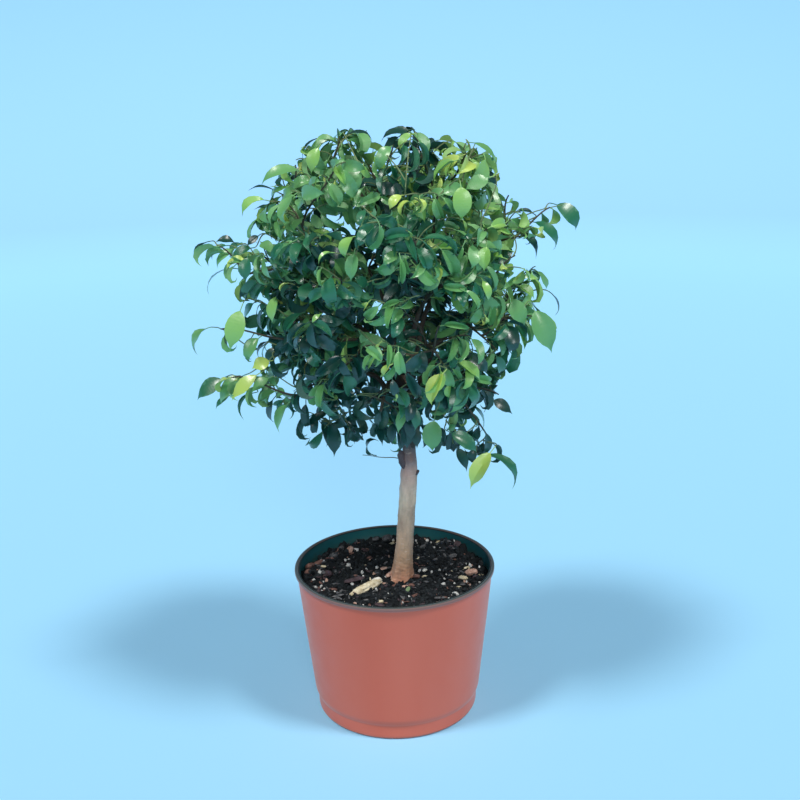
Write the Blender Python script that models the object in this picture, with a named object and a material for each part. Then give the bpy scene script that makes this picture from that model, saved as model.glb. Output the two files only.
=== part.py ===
"""A weeping fig grown as a standard: a round head of leaves on one bare stem, in a plastic pot.

Metres, +Z up. The origin is the centre of the pot's flat underside. The front is -Y, the right is +X.
The pot, its lining and the potting mix are turned shapes. The stem runs from a flat cut on the mix to
its tip inside the head, and each bough leaves it for one mass of foliage. The head is shared out
between the masses by planes through one hub, so no mass enters the space of another.
"""

import math

import bmesh
import bpy
import numpy as np
from mathutils import Vector
from mathutils.bvhtree import BVHTree

# ---- sizes that the rest is worked out from ----
CLEARANCE = 0.0003            # between pieces that touch

POT_HEIGHT = 0.152
POT_RIM_RADIUS = 0.1015       # over the lip
POT_WALL_TOP_RADIUS = 0.0993  # of the wall just under the lip
POT_WALL_LOW_RADIUS = 0.0853  # of the wall where it turns in to the foot
POT_FOOT_RADIUS = 0.0822
POT_FOOT_HEIGHT = 0.0150
POT_STEP_TOP = 0.0215         # height where the wall's turn-in begins
POT_LIP_HEIGHT = 0.0042
POT_WALL = 0.0014
POT_FLOOR = 0.0020
POT_SIDES = 40
LINING_THICKNESS = 0.0007
DRAIN_HOLES = 6
DRAIN_HOLE_RADIUS = 0.0050
DRAIN_HOLE_CIRCLE = 0.0560
DRAIN_HOLE_SIDES = 8

MIX_LEVEL = 0.138             # of the potting mix at the stem
MIX_RELIEF = 0.0030           # how far the mix rises and dips away from the stem
MIX_FLAT_RADIUS = 0.0165      # of the level ring that the stem stands on
MIX_BANK_PLACE = (0.045, 0.062)  # middle of the bank that the mix is heaped into, on the back right
MIX_BANK_RISE = 0.0045
MIX_BANK_SPREAD = 0.045
MIX_SIDES = 20
MIX_RINGS = 4

TRUNK_FOOT = Vector((0.0066, -0.0084, MIX_LEVEL))
TRUNK_CROOK = Vector((0.0172, -0.0080, 0.262))   # where the lean ends, just under the head
TRUNK_TIP = Vector((0.0150, -0.0060, 0.352))
TRUNK_RADIUS = 0.0083
TRUNK_HEAD_RADIUS = 0.0063    # where it enters the head
TRUNK_TIP_RADIUS = 0.0040
TRUNK_FLARE = 0.0036          # added to the radius at the foot
TRUNK_FLARE_FADE = 0.016      # height over which the flare dies away
TRUNK_SIDES = 12
TRUNK_RINGS = 20
ROOT_RIDGES = 5
ROOT_RIDGE_DEPTH = 0.0013
# Scars of pruned branches: height above the mix, heading in degrees, how far they stand out.
TRUNK_SCARS = ((0.119, -8.0, 0.0022), (0.128, 186.0, 0.0034))
SCAR_HEIGHT = 0.0050          # half height of a scar
SCAR_SPREAD = 32.0            # half width of a scar, in degrees round the stem

HUB = Vector((0.012, -0.004, 0.386))   # where the planes between the masses meet
BOUGH_RISE = 0.8              # how steeply a bough leaves the stem, as a slope
BOUGH_LIFT = 0.6              # how much more upright than its mass's direction it ends
BOUGH_RADIUS = 0.0029
BOUGH_TIP_RADIUS = 0.0022
BOUGH_SIDES = 5
BOUGH_RINGS = 5

HEAD_CENTRE = Vector((0.003, 0.0, 0.430))
HEAD_RADIUS = 0.124           # to the twig tips, level with the centre
HEAD_TOP_EXTRA = 0.028        # more reach at the top
HEAD_SHOULDER = 0.009         # more reach half way up and half way down
HEAD_UNDERSIDE_CUT = 0.018    # less reach below, where leaves hang lower than the twigs
HEAD_LUMPS = 0.030            # share by which the reach swells and dips round the head
OUTER_TIPS = 106
LOW_BIAS = 0.24               # how much closer together the tips are low down
INNER_TIPS = 38
INNER_SHARE = 0.72            # reach of the inner tips as a share of the outer
BARE_CONE = 0.90              # no tips steeper below the centre than this, so the stem shows

# One row for each ring of masses: name, elevation, heading of the first, how many, height of the
# boughs' roots on the stem, reach from the hub to their tips. Headings are degrees from the front,
# turning towards the right.
MASS_RINGS = (
    ("lower", -37.0, 54.0, 5, 0.278, 0.054),
    ("middle", 6.0, 18.0, 5, 0.305, 0.046),
    ("upper", 44.0, 30.0, 4, 0.330, 0.044),
)
TOP_REACH = 0.044             # from the hub to the top bough's tip
ROOT_STEP = 0.0045            # between the heights at which the boughs of a ring leave the stem
SIDE_NAMES = ("front", "front_right", "right", "back_right", "back", "back_left", "left", "front_left")

# Shoots that reach out of the round head: heading and elevation from its centre, and reach to the tip.
STRAY_SHOOTS = {
    "left_high": (-83.0, 18.0, 0.166),
    "left_high_under": (-79.0, 10.0, 0.142),
    "left_middle": (-87.0, -10.0, 0.165),
    "left_low": (-79.0, -24.0, 0.170),
    "upper_left": (-85.0, 41.0, 0.142),
    "upper_left_top": (-76.0, 55.0, 0.150),
    "top_left": (-64.0, 72.0, 0.155),
    "top_right": (83.0, 58.0, 0.152),
    "right_high": (86.0, 28.0, 0.168),
    "right_high_under": (76.0, 24.0, 0.138),
    "right_middle": (88.0, 8.0, 0.132),
    "right_low": (77.0, -8.0, 0.136),
    "low_right": (73.0, -42.0, 0.140),
    "lowest_right": (70.0, -55.0, 0.172),
    "low_left": (-73.0, -43.0, 0.140),
    "front_high": (10.0, 30.0, 0.140),
    "back_high": (165.0, 34.0, 0.152),
    "back_left": (-140.0, -4.0, 0.158),
    "back_right": (128.0, -20.0, 0.156),
}

STEM_REACH = 0.086            # from the hub to the end of a mass's own stem
STEM_FOOT = 0.005             # straight foot of the stem, in line with the bough's tip
STEM_RADIUS = 0.0020
TWIG_RADIUS = 0.0015          # at its fork
TWIG_TIP_RADIUS = 0.0011
TWIG_PARTS = 2                # straight lengths in a twig
FORK_TURN = (14.0, 88.0)      # least and most that a twig turns from its parent, in degrees
FORK_CHOICES = 6              # places tried for a twig's fork before its tip is given up
TWIG_DROOP = 0.35             # how far twig ends bend down out of their outward heading

LEAF_LENGTH = 0.050           # with its stalk
LEAF_WIDTH = 0.0260
LEAF_THICKNESS = 0.0017
LEAF_WAIST = 0.52             # where along its length a leaf is widest
LEAF_CURL = 78.0              # degrees from its stalk's heading to its tip's
LEAF_SPACING = 0.0090         # along a twig
LEAF_SINK = 0.0012            # how far the end leaf's root is sunk in its twig
LEAF_BARE = 0.008             # bare foot of a twig
LEAF_SWING = 35.0             # degrees by which a leaf may point away from its even place
LEAF_HANG = (-0.10, 0.60)     # how steeply leaves point down, as slopes
LEAF_TRIES = (0, 25, -25, 50, -50, 80, -80, 115, -115)   # turns tried, in degrees, for a free place
SPACE_MARGIN = 0.0004         # kept from the planes between masses
TIP_MARGIN = 0.0050           # kept from them by twig tips, which are moved in where they are nearer
LIMB_MARGIN = 0.0012          # kept from limbs

GOLDEN_ANGLE = math.pi * (3 - math.sqrt(5))
UP = np.array((0.0, 0.0, 1.0))
LEVEL = np.array((1.0, 1.0, 0.0))
SEED = 7

# ---- finishes: colour, roughness ----
FINISHES = {
    "terracotta_plastic": ((0.46, 0.17, 0.12), 0.50),
    "green_plastic": ((0.010, 0.050, 0.042), 0.40),
    "potting_mix": ((0.030, 0.026, 0.024), 0.95),
    "bark": ((0.36, 0.25, 0.18), 0.80),
    "bough_bark": ((0.22, 0.16, 0.11), 0.80),
    "leaf": ((0.035, 0.130, 0.045), 0.35),
}


# ---- general helpers ----
def clear_scene():
    for old in list(bpy.data.objects):
        bpy.data.objects.remove(old, do_unlink=True)


def finish(name):
    """The Principled material of that name, made once."""
    if name in bpy.data.materials:
        return bpy.data.materials[name]
    colour, roughness = FINISHES[name]
    material = bpy.data.materials.new(name)
    material.use_nodes = True
    shader = material.node_tree.nodes["Principled BSDF"]
    shader.inputs["Base Color"].default_value = (*colour, 1.0)
    shader.inputs["Roughness"].default_value = roughness
    shader.inputs["Metallic"].default_value = 0.0
    return material


def placed(name, mesh, finish_name, collection=None):
    """An object of that mesh, in the scene or in a collection of its own."""
    mesh.materials.clear()
    mesh.materials.append(finish(finish_name))
    made = bpy.data.objects.new(name, mesh)
    (collection or bpy.context.scene.collection).objects.link(made)
    return made


def length_of(vector):
    return float(np.linalg.norm(vector))


def unit(vector):
    return vector / max(length_of(vector), 1e-12)


def loft(rings, foot=None, head=None):
    """A closed solid, (points, faces), over rings of equal count. An end is a flat cap or a given point."""
    sides = len(rings[0])
    points = np.concatenate([*rings, *(np.array(p)[None] for p in (foot, head) if p is not None)])
    last = (len(rings) - 1) * sides
    faces = []
    for start in range(0, last, sides):
        for i in range(sides):
            j = (i + 1) % sides
            faces.append((start + i, start + j, start + sides + j, start + sides + i))
    around = list(range(sides))
    if foot is None:
        faces.append(tuple(reversed(around)))
    else:
        tip = last + sides
        faces += [((i + 1) % sides, i, tip) for i in around]
    if head is None:
        faces.append(tuple(last + i for i in around))
    else:
        tip = len(points) - 1
        faces += [(last + i, last + (i + 1) % sides, tip) for i in around]
    return points, faces


def mesh_of(name, solid):
    mesh = bpy.data.meshes.new(name)
    mesh.from_pydata(solid[0].tolist(), [], solid[1])
    return mesh


def smooth(mesh, angle=40.0):
    mesh.shade_smooth()
    mesh.set_sharp_from_angle(angle=math.radians(angle))


def turned(name, profile, sides):
    """The profile, (radius, height) points from axis to axis, spun round Z into a closed mesh."""
    bm = bmesh.new()
    points = [bm.verts.new((radius, 0.0, height)) for radius, height in profile]
    edges = [bm.edges.new(pair) for pair in zip(points, points[1:])]
    bmesh.ops.spin(bm, geom=points + edges, cent=(0, 0, 0), axis=(0, 0, 1), angle=math.tau, steps=sides)
    bmesh.ops.remove_doubles(bm, verts=bm.verts, dist=1e-6)
    bmesh.ops.dissolve_degenerate(bm, dist=1e-7, edges=bm.edges)
    bmesh.ops.recalc_face_normals(bm, faces=bm.faces)
    mesh = bpy.data.meshes.new(name)
    bm.to_mesh(mesh)
    bm.free()
    return mesh


def tube_rings(path, radii, sides, ripple=None):
    """Rings square to a path. ripple(height, angle) adds to the radius, with angle from +X."""
    path = np.asarray(path, float)
    rings = []
    across = None
    for i, (centre, radius) in enumerate(zip(path, radii)):
        along = unit(path[min(i + 1, len(path) - 1)] - path[max(i - 1, 0)])
        if across is None:
            across = np.array((1.0, 0.0, 0.0)) if abs(along[0]) < 0.8 else np.array((0.0, 1.0, 0.0))
        across = unit(across - along * (across @ along))
        third = np.cross(along, across)
        angles = np.arange(sides) * math.tau / sides
        reach = np.full(sides, float(radius))
        if ripple is not None:
            reach = reach + np.array([ripple(centre[2], angle) for angle in angles])
        spokes = np.cos(angles)[:, None] * across + np.sin(angles)[:, None] * third
        rings.append(centre + reach[:, None] * spokes)
    return rings


def bezier(start, start_pull, end_pull, end, count):
    """count points along a cubic through start and end."""
    t = np.linspace(0.0, 1.0, count)[:, None]
    s = 1 - t
    return s**3 * start + 3 * t * s**2 * start_pull + 3 * t**2 * s * end_pull + t**3 * end


def subtract(target, cutter):
    """Cuts the cutter out of the target for good, and removes the cutter."""
    cut = target.modifiers.new("cut", "BOOLEAN")
    cut.operation = "DIFFERENCE"
    cut.object = cutter
    apply_modifiers(target)
    bpy.data.objects.remove(cutter, do_unlink=True)


def apply_modifiers(target):
    graph = bpy.context.evaluated_depsgraph_get()
    result = bpy.data.meshes.new_from_object(target.evaluated_get(graph))
    target.modifiers.clear()
    target.data = result


# ---- pot, lining and potting mix ----
def pot_inner_profile(inset):
    """Outline of the pot's inside from the wall's foot to the rim, moved in by inset."""
    return [
        (POT_FOOT_RADIUS - POT_WALL - inset, POT_FLOOR + inset),
        (POT_FOOT_RADIUS - POT_WALL - inset, POT_FOOT_HEIGHT),
        (POT_WALL_LOW_RADIUS - POT_WALL - inset, POT_STEP_TOP + POT_WALL / 2),
        (POT_WALL_TOP_RADIUS - POT_WALL - inset, POT_HEIGHT - POT_LIP_HEIGHT),
    ]


def wall_radius(inset, height):
    """Radius of the pot's tapered inner wall, moved in by inset, at a height."""
    (low_radius, low), (top_radius, top) = pot_inner_profile(inset)[2:]
    return low_radius + (top_radius - low_radius) * (height - low) / (top - low)


def pot_mesh():
    lip = POT_HEIGHT - POT_LIP_HEIGHT
    bevel = 0.0012
    inner = pot_inner_profile(0.0)
    outside = [
        (0.0, 0.0),
        (POT_FOOT_RADIUS - 2.5 * bevel, 0.0),
        (POT_FOOT_RADIUS - 0.75 * bevel, 0.75 * bevel),
        (POT_FOOT_RADIUS, 2.5 * bevel),
        (POT_FOOT_RADIUS + 0.0003, POT_FOOT_HEIGHT),
        (POT_WALL_LOW_RADIUS - bevel, POT_FOOT_HEIGHT + 0.0028),
        (POT_WALL_LOW_RADIUS, POT_STEP_TOP),
        (POT_WALL_TOP_RADIUS, lip),
        (POT_RIM_RADIUS, lip + bevel),
        (POT_RIM_RADIUS, POT_HEIGHT - bevel),
        (POT_RIM_RADIUS - bevel, POT_HEIGHT),
        (inner[-1][0] + 0.0004, POT_HEIGHT),
    ]
    return turned("pot", outside + inner[::-1] + [(0.0, POT_FLOOR)], POT_SIDES)


def lining_mesh():
    """The dark inner layer of the pot's wall, from its floor to its rim."""
    outer = pot_inner_profile(CLEARANCE)
    inner = pot_inner_profile(CLEARANCE + LINING_THICKNESS)
    inner[0] = (inner[0][0], outer[0][1])
    top = POT_HEIGHT - CLEARANCE
    ring = [*outer, (outer[-1][0], top), (inner[-1][0], top), *inner[::-1]]
    return turned("pot_lining", [*ring, ring[0]], POT_SIDES)


def drain_cutter():
    """Upright prisms in a ring, through the pot's floor and the lining's."""
    bm = bmesh.new()
    for i in range(DRAIN_HOLES):
        heading = (i + 0.5) * math.tau / DRAIN_HOLES
        made = bmesh.ops.create_cone(
            bm,
            cap_ends=True,
            segments=DRAIN_HOLE_SIDES,
            radius1=DRAIN_HOLE_RADIUS,
            radius2=DRAIN_HOLE_RADIUS,
            depth=4 * POT_FLOOR,
        )
        middle = DRAIN_HOLE_CIRCLE * Vector((math.cos(heading), math.sin(heading), 0.0))
        bmesh.ops.translate(bm, verts=made["verts"], vec=middle)
    mesh = bpy.data.meshes.new("drain_cutter")
    bm.to_mesh(mesh)
    bm.free()
    return placed("drain_cutter", mesh, "green_plastic")


def mix_height(x, y):
    """Height of the mix above its level at the stem: a few crossed waves, and a bank e^-(r / spread)^2."""
    waves = math.sin(61 * x + 1.3) * math.cos(53 * y + 0.4) + 0.6 * math.sin(118 * x - 83 * y)
    away = math.hypot(x - MIX_BANK_PLACE[0], y - MIX_BANK_PLACE[1]) / MIX_BANK_SPREAD
    return MIX_RELIEF * 0.6 * waves + MIX_BANK_RISE * math.exp(-away * away)


def mix_mesh():
    """A lump that fills the lining: rings from the stem's level ring out to the wall, then down."""
    inset = 2 * CLEARANCE + LINING_THICKNESS
    top = MIX_LEVEL - CLEARANCE
    angles = np.arange(MIX_SIDES) * math.tau / MIX_SIDES
    ring = np.stack([np.cos(angles), np.sin(angles), np.zeros(MIX_SIDES)], axis=1)
    middle = np.array((TRUNK_FOOT.x, TRUNK_FOOT.y, top))
    near = middle + MIX_FLAT_RADIUS * ring
    edge = np.array((0.0, 0.0, top)) + wall_radius(inset, top) * ring
    rings = [near]
    for step in range(1, MIX_RINGS + 1):
        share = step / MIX_RINGS
        level = near + (edge - near) * share
        level[:, 2] += [mix_height(x, y) * min(1.0, 2 * share) for x, y, _ in level]
        if step == MIX_RINGS:
            level[:, :2] = ring[:, :2] * [[wall_radius(inset, z)] for z in level[:, 2]]
        rings.append(level)
    for radius, height in pot_inner_profile(inset)[2::-1]:
        rings.append(np.array((0.0, 0.0, height)) + radius * ring)
    # The rings run from the top down, so they are turned round for faces that point out.
    return mesh_of("potting_mix", loft(rings[::-1], head=middle))


# ---- stem and boughs ----
def trunk_axis(height):
    """The stem's centre at a height: a lean up to the crook, then a slow return to upright."""
    if height <= TRUNK_CROOK.z:
        share = (height - TRUNK_FOOT.z) / (TRUNK_CROOK.z - TRUNK_FOOT.z)
        eased = share ** 0.85 if share > 0 else 0.0
        flat = TRUNK_FOOT.lerp(TRUNK_CROOK, eased)
    else:
        share = (height - TRUNK_CROOK.z) / (TRUNK_TIP.z - TRUNK_CROOK.z)
        flat = TRUNK_CROOK.lerp(TRUNK_TIP, share * share * (3 - 2 * share))
    return np.array((flat.x, flat.y, height))


def trunk_radius(height):
    above = height - TRUNK_FOOT.z
    marks = (TRUNK_FOOT.z, TRUNK_CROOK.z - 0.012, TRUNK_CROOK.z + 0.012, TRUNK_TIP.z)
    plain = np.interp(height, marks, (TRUNK_RADIUS, TRUNK_RADIUS, TRUNK_HEAD_RADIUS, TRUNK_TIP_RADIUS))
    return float(plain) + TRUNK_FLARE * math.exp(-above / TRUNK_FLARE_FADE)


def trunk_ripple(height, angle):
    """Root ridges that fade upwards, and the scars of pruned branches."""
    above = height - TRUNK_FOOT.z
    ridge = ROOT_RIDGE_DEPTH * math.cos(ROOT_RIDGES * angle + 0.6) * math.exp(-above / TRUNK_FLARE_FADE)
    for scar_height, heading, depth in TRUNK_SCARS:
        turn = (math.degrees(angle) - heading + 180) % 360 - 180
        ridge += depth * math.exp(-((turn / SCAR_SPREAD) ** 2) - ((above - scar_height) / SCAR_HEIGHT) ** 2)
    return ridge


def trunk_mesh(name, swell=0.0):
    """The stem. swell makes the fatter copy that boughs are cut back from."""
    share = np.linspace(0.0, 1.0, TRUNK_RINGS)
    heights = TRUNK_FOOT.z + (TRUNK_TIP.z - TRUNK_FOOT.z) * share**1.15
    path = np.array([trunk_axis(h) for h in heights])
    radii = [trunk_radius(h) + swell for h in heights]
    rings = tube_rings(path, radii, TRUNK_SIDES, trunk_ripple)
    rings[0][:, 2] = TRUNK_FOOT.z
    if swell:
        rings[-1] = rings[-1] + np.array((0.0, 0.0, swell))
    return mesh_of(name, loft(rings))


def heading_vector(heading, elevation):
    """Unit vector at a heading from the front, turning right, and an elevation, in degrees."""
    h, e = math.radians(heading), math.radians(elevation)
    return np.array((math.sin(h) * math.cos(e), -math.cos(h) * math.cos(e), math.sin(e)))


def mass_plan():
    """For each mass: its name, direction from the hub, height of its bough's root, and reach to its tip."""
    plan = [("top", UP, TRUNK_TIP.z, TOP_REACH)]
    for ring, elevation, first, count, root, reach in MASS_RINGS:
        for i in range(count):
            heading = first + 360.0 * i / count
            name = f"{ring}_{SIDE_NAMES[round(heading / 45.0) % 8]}"
            plan.append((name, heading_vector(heading, elevation), root + 2 * i % count * ROOT_STEP, reach))
    return plan


def bough_path(direction, root_height, reach):
    """From inside the stem, out and up, to its mass. The top one carries on from the stem's tip."""
    tip = np.array(HUB) + direction * reach
    if direction is UP:
        start, leaving = np.array(TRUNK_TIP) + UP * CLEARANCE, UP
    else:
        start, leaving = trunk_axis(root_height), unit(direction * LEVEL + BOUGH_RISE * UP)
    pull, ending = np.linalg.norm(tip - start) * 0.38, arrival(direction)
    turn = tip - ending * STEM_FOOT
    curve = bezier(start, start + leaving * pull, turn - ending * pull, turn, BOUGH_RINGS - 1)
    return np.array((*curve, tip))


def arrival(direction):
    """The heading in which a bough ends and its mass's stem begins."""
    return unit(direction + BOUGH_LIFT * UP)


def stem_path(direction, reach):
    """A mass's stem: clear of its bough's tip and square to it, then out into the mass."""
    hub, heading = np.array(HUB), arrival(direction)
    foot = hub + direction * reach + heading * CLEARANCE
    end = hub + direction * STEM_REACH
    turn = foot + heading * STEM_FOOT
    return np.array((foot, turn, (turn + heading * STEM_FOOT + end) / 2, end))


def build_bough(name, direction, root_height, reach):
    """One tapering limb whose root fits the stem. Returns its path and radii."""
    path = bough_path(direction, root_height, reach)
    radii = np.linspace(BOUGH_RADIUS, BOUGH_TIP_RADIUS, BOUGH_RINGS)
    bough = placed(f"bough_{name}", mesh_of(name, loft(tube_rings(path, radii, BOUGH_SIDES))), "bough_bark")
    if direction is not UP:
        subtract(bough, placed("stem_cutter", trunk_mesh("stem_cutter", CLEARANCE), "bark"))
    return path, radii


# ---- the spaces of the masses ----
def share_planes(directions):
    """For each mass, the unit normals of the planes through the hub that bound its space."""
    planes = []
    for i, own in enumerate(directions):
        gaps = np.array([own - other for j, other in enumerate(directions) if j != i])
        planes.append(gaps / np.linalg.norm(gaps, axis=1)[:, None])
    return planes


def in_space(points, planes, margin):
    return bool(((np.atleast_2d(points) - np.array(HUB)) @ planes.T).min() > margin)


def moved_in(tip, planes):
    """A tip moved square to any plane that it is nearer than TIP_MARGIN."""
    for normal in planes:
        short = TIP_MARGIN - (tip - np.array(HUB)) @ normal
        tip = tip + normal * max(0.0, float(short))
    return tip


def limb_distance(points, limbs):
    """How far the nearest limb's skin is from any of the points."""
    points = np.atleast_2d(points)
    nearest = np.inf
    for path, radii in limbs:
        for a, b, ra, rb in zip(path, path[1:], radii, radii[1:]):
            run = b - a
            share = np.clip((points - a) @ run / (run @ run), 0.0, 1.0)
            gap = np.linalg.norm(points - a - share[:, None] * run, axis=1) - (ra + (rb - ra) * share)
            nearest = min(nearest, float(gap.min()))
    return nearest


# ---- where twigs end ----
def head_reach(direction):
    """From the head's centre to the twig tips in a direction: a ball with lumps, cut short below."""
    rise = direction[2]
    plain = HEAD_RADIUS + (HEAD_TOP_EXTRA if rise > 0 else HEAD_UNDERSIDE_CUT) * rise
    plain += HEAD_SHOULDER * 4 * rise**2 * (1 - rise**2)
    turn = math.atan2(direction[1], direction[0])
    lumps = math.sin(3 * turn + 1.1) * math.sqrt(1 - rise * rise) + 0.7 * math.sin(5 * turn + 7 * rise)
    return plain * (1 + HEAD_LUMPS * lumps)


def spread_directions(count, twist):
    """Directions spread over a sphere along a golden-angle spiral, closer together low down."""
    for i in range(count):
        rise = 1 - (2 * i + 1) / count
        rise -= LOW_BIAS * (1 - rise * rise)
        turn = i * GOLDEN_ANGLE + twist
        flat = math.sqrt(1 - rise * rise)
        yield np.array((flat * math.cos(turn), flat * math.sin(turn), rise))


def head_tips(rng):
    """Every twig tip: the stray shoots, then the outer skin of the head, then its inside."""
    centre = np.array(HEAD_CENTRE)
    tips = [centre + heading_vector(*aim) * reach for *aim, reach in STRAY_SHOOTS.values()]
    for count, share, twist in ((OUTER_TIPS, 1.0, 0.0), (INNER_TIPS, INNER_SHARE, 1.9)):
        for direction in spread_directions(count, twist):
            reach = head_reach(direction) * share * rng.uniform(0.90, 1.02)
            if direction[2] > -BARE_CONE:
                tips.append(centre + direction * reach)
    return tips


# ---- one mass of foliage ----
class Mass:
    """A mass as it grows: the space it keeps to, and the solids grown in it so far."""

    def __init__(self, direction, reach, planes, limbs, seed):
        self.direction, self.reach, self.planes, self.limbs = direction, reach, planes, limbs
        self.rng = np.random.default_rng(seed)
        self.paths, self.solids, self.trees = [], [], []

    def roomy(self, points, probes, margin):
        """Whether a solid stays in the mass's space and its probes stay off the limbs."""
        inside = in_space(points, self.planes, SPACE_MARGIN)
        return inside and limb_distance(probes, self.limbs) > margin

    def crosses(self, solid, joined):
        """Whether a solid cuts any solid grown so far, apart from those it is joined to."""
        tree = BVHTree.FromPolygons(solid[0].tolist(), solid[1])
        return any(i not in joined and tree.overlap(other) for i, other in enumerate(self.trees))

    def add(self, solid):
        self.solids.append(solid)
        self.trees.append(BVHTree.FromPolygons(solid[0].tolist(), solid[1]))

    def grow(self, tips):
        """The stem, then twigs to the tips, nearest first, then leaves along every twig."""
        stem = stem_path(self.direction, self.reach)
        self.paths.append(stem)
        self.add(twig_solid(stem, STEM_RADIUS, TWIG_RADIUS))
        forks = [Fork(place, self.direction, length_of(place - stem[0]), {0}) for place in stem[1:]]
        tips = [moved_in(tip, self.planes) for tip in tips]
        for tip in sorted(tips, key=lambda tip: length_of(tip - stem[0])):
            self.grow_twig(tip, forks)
        for i, path in enumerate(self.paths[1:], start=1):
            self.grow_leaves(path, i)

    def grow_twig(self, tip, forks):
        """A twig to the tip from the first fork that leaves it room. A tip with none is skipped."""
        facing = (fork for fork in forks if fork.faces(tip))
        for fork in sorted(facing, key=lambda fork: fork.cost(tip))[:FORK_CHOICES]:
            path = twig_path(fork.place, fork.heading, tip)
            solid = twig_solid(path, TWIG_RADIUS, TWIG_TIP_RADIUS)
            roomy = self.roomy(solid[0], path[1:], TWIG_RADIUS + LIMB_MARGIN)
            if roomy and not self.crosses(solid, fork.twigs):
                twig, heading = len(self.solids), unit(path[2] - path[0])
                fork.twigs.add(twig)
                for place, share in ((path[1], 0.5), ((path[1] + path[2]) / 2, 0.75)):
                    run = fork.run + share * length_of(tip - fork.place)
                    forks.append(Fork(place, heading, run, {twig}))
                self.paths.append(path)
                self.add(solid)
                return

    def grow_leaves(self, path, twig):
        """Leaves set alternately along a twig, with one at its end."""
        runs = np.concatenate([[0.0], np.cumsum(np.linalg.norm(np.diff(path, axis=0), axis=1))])
        side = self.rng.choice((-1.0, 1.0))
        along = np.arange(LEAF_BARE, runs[-1] - 0.4 * LEAF_SPACING, LEAF_SPACING)
        for run in (*along, runs[-1] - LEAF_SINK):
            i = min(int(np.searchsorted(runs, run, side="right")) - 1, len(path) - 2)
            heading = unit(path[i + 1] - path[i])
            length = LEAF_LENGTH * self.rng.uniform(0.82, 1.14)
            curl = math.radians(LEAF_CURL) * self.rng.uniform(0.55, 1.35)
            hang, swing = self.rng.uniform(*LEAF_HANG), self.rng.uniform(-LEAF_SWING, LEAF_SWING)
            aim = (heading, side, hang, swing)
            self.grow_leaf(path[i] + heading * (run - runs[i]), aim, length, curl, twig)
            side = -side

    def grow_leaf(self, place, aim, length, curl, twig):
        """The first turn of a leaf that has room. A leaf with none is skipped."""
        heading, side, hang, swing = aim
        for turn in LEAF_TRIES:
            along, facing = leaf_frame(place, heading, side, hang, math.radians(turn + swing) * side)
            solid = leaf_solid(place, along, facing, length, curl)
            if self.roomy(solid[0], leaf_probes(solid[0]), LIMB_MARGIN) and not self.crosses(solid, {twig}):
                self.add(solid)
                return


class Fork:
    """A place on a twig that others may leave from. twigs are those that meet there."""

    def __init__(self, place, heading, run, twigs):
        self.place, self.heading, self.run, self.twigs = place, heading, run, twigs

    def faces(self, tip):
        turn = math.degrees(math.acos(float(np.clip(unit(tip - self.place) @ self.heading, -1.0, 1.0))))
        return FORK_TURN[0] < turn < FORK_TURN[1]

    def cost(self, tip):
        """Wood to the tip, with the way back to the stem counted for less."""
        return length_of(tip - self.place) + 0.45 * self.run


def twig_path(fork, heading, tip):
    """From a fork, part way between its parent's heading and the tip, then bent outwards and down."""
    reach, way = np.linalg.norm(tip - fork), unit(tip - fork)
    leaving = unit(heading + 1.5 * way)
    ending = unit(unit(tip - np.array(HEAD_CENTRE)) + way - TWIG_DROOP * UP)
    return bezier(fork, fork + leaving * reach * 0.3, tip - ending * reach * 0.3, tip, TWIG_PARTS + 1)


def twig_solid(path, radius, tip_radius):
    return loft(tube_rings(path, np.linspace(radius, tip_radius, len(path)), 3))


# ---- leaves ----
LEAF_FACES = ((0, 2, 1), (3, 1, 2), (0, 1, 4), (1, 3, 4), (3, 2, 4), (2, 0, 4))


def leaf_frame(place, heading, side, hang, turn):
    """A leaf's heading and its upper face's normal, on one side of a twig, turned about upright."""
    outward = (place - np.array(HEAD_CENTRE)) * LEVEL / HEAD_RADIUS
    lateral = unit(np.cross(heading + 0.05 * outward, UP)) * side
    along = unit(0.55 * heading + 0.75 * lateral + 0.30 * outward - hang * UP)
    c, s = math.cos(turn), math.sin(turn)
    along = np.array((c * along[0] - s * along[1], s * along[0] + c * along[1], along[2]))
    facing = outward + 0.75 * UP
    return along, unit(facing - along * (facing @ along))


def leaf_solid(place, along, facing, length, curl):
    """Six faces over five corners: root, left, right, tip, and the keel under the waist."""
    across = np.cross(facing, along)

    def bent(share):
        return math.cos(curl * share) * along - math.sin(curl * share) * facing

    waist = place + bent(0.25) * length * LEAF_WAIST
    tip = waist + bent(0.80) * length * (1 - LEAF_WAIST)
    up = math.sin(curl / 2) * along + math.cos(curl / 2) * facing
    half = across * LEAF_WIDTH / 2 * length / LEAF_LENGTH
    return np.array((place, waist + half, waist - half, tip, waist - up * LEAF_THICKNESS)), LEAF_FACES


def leaf_probes(points):
    """Points spread over a leaf's upper faces, for the test against limbs."""
    weights = np.array([(a, b, 4 - a - b) for a in range(5) for b in range(5 - a)]) / 4.0
    return np.concatenate([weights @ points[list(face)] for face in LEAF_FACES[:2]])


# ---- foliage ----
def fill_pockets(mesh):
    """Removes all but the largest shell: the others are pockets shut in where leaves cross."""
    bm = bmesh.new()
    bm.from_mesh(mesh)
    unseen, largest = set(bm.verts), []
    while unseen:
        front = [unseen.pop()]
        shell = list(front)
        while front:
            near = {edge.other_vert(vert) for vert in front for edge in vert.link_edges} & unseen
            unseen -= near
            front = list(near)
            shell += front
        largest = max(largest, shell, key=len)
    kept = set(largest)
    bmesh.ops.delete(bm, geom=[vert for vert in bm.verts if vert not in kept], context="VERTS")
    bm.to_mesh(mesh)
    bm.free()


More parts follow.
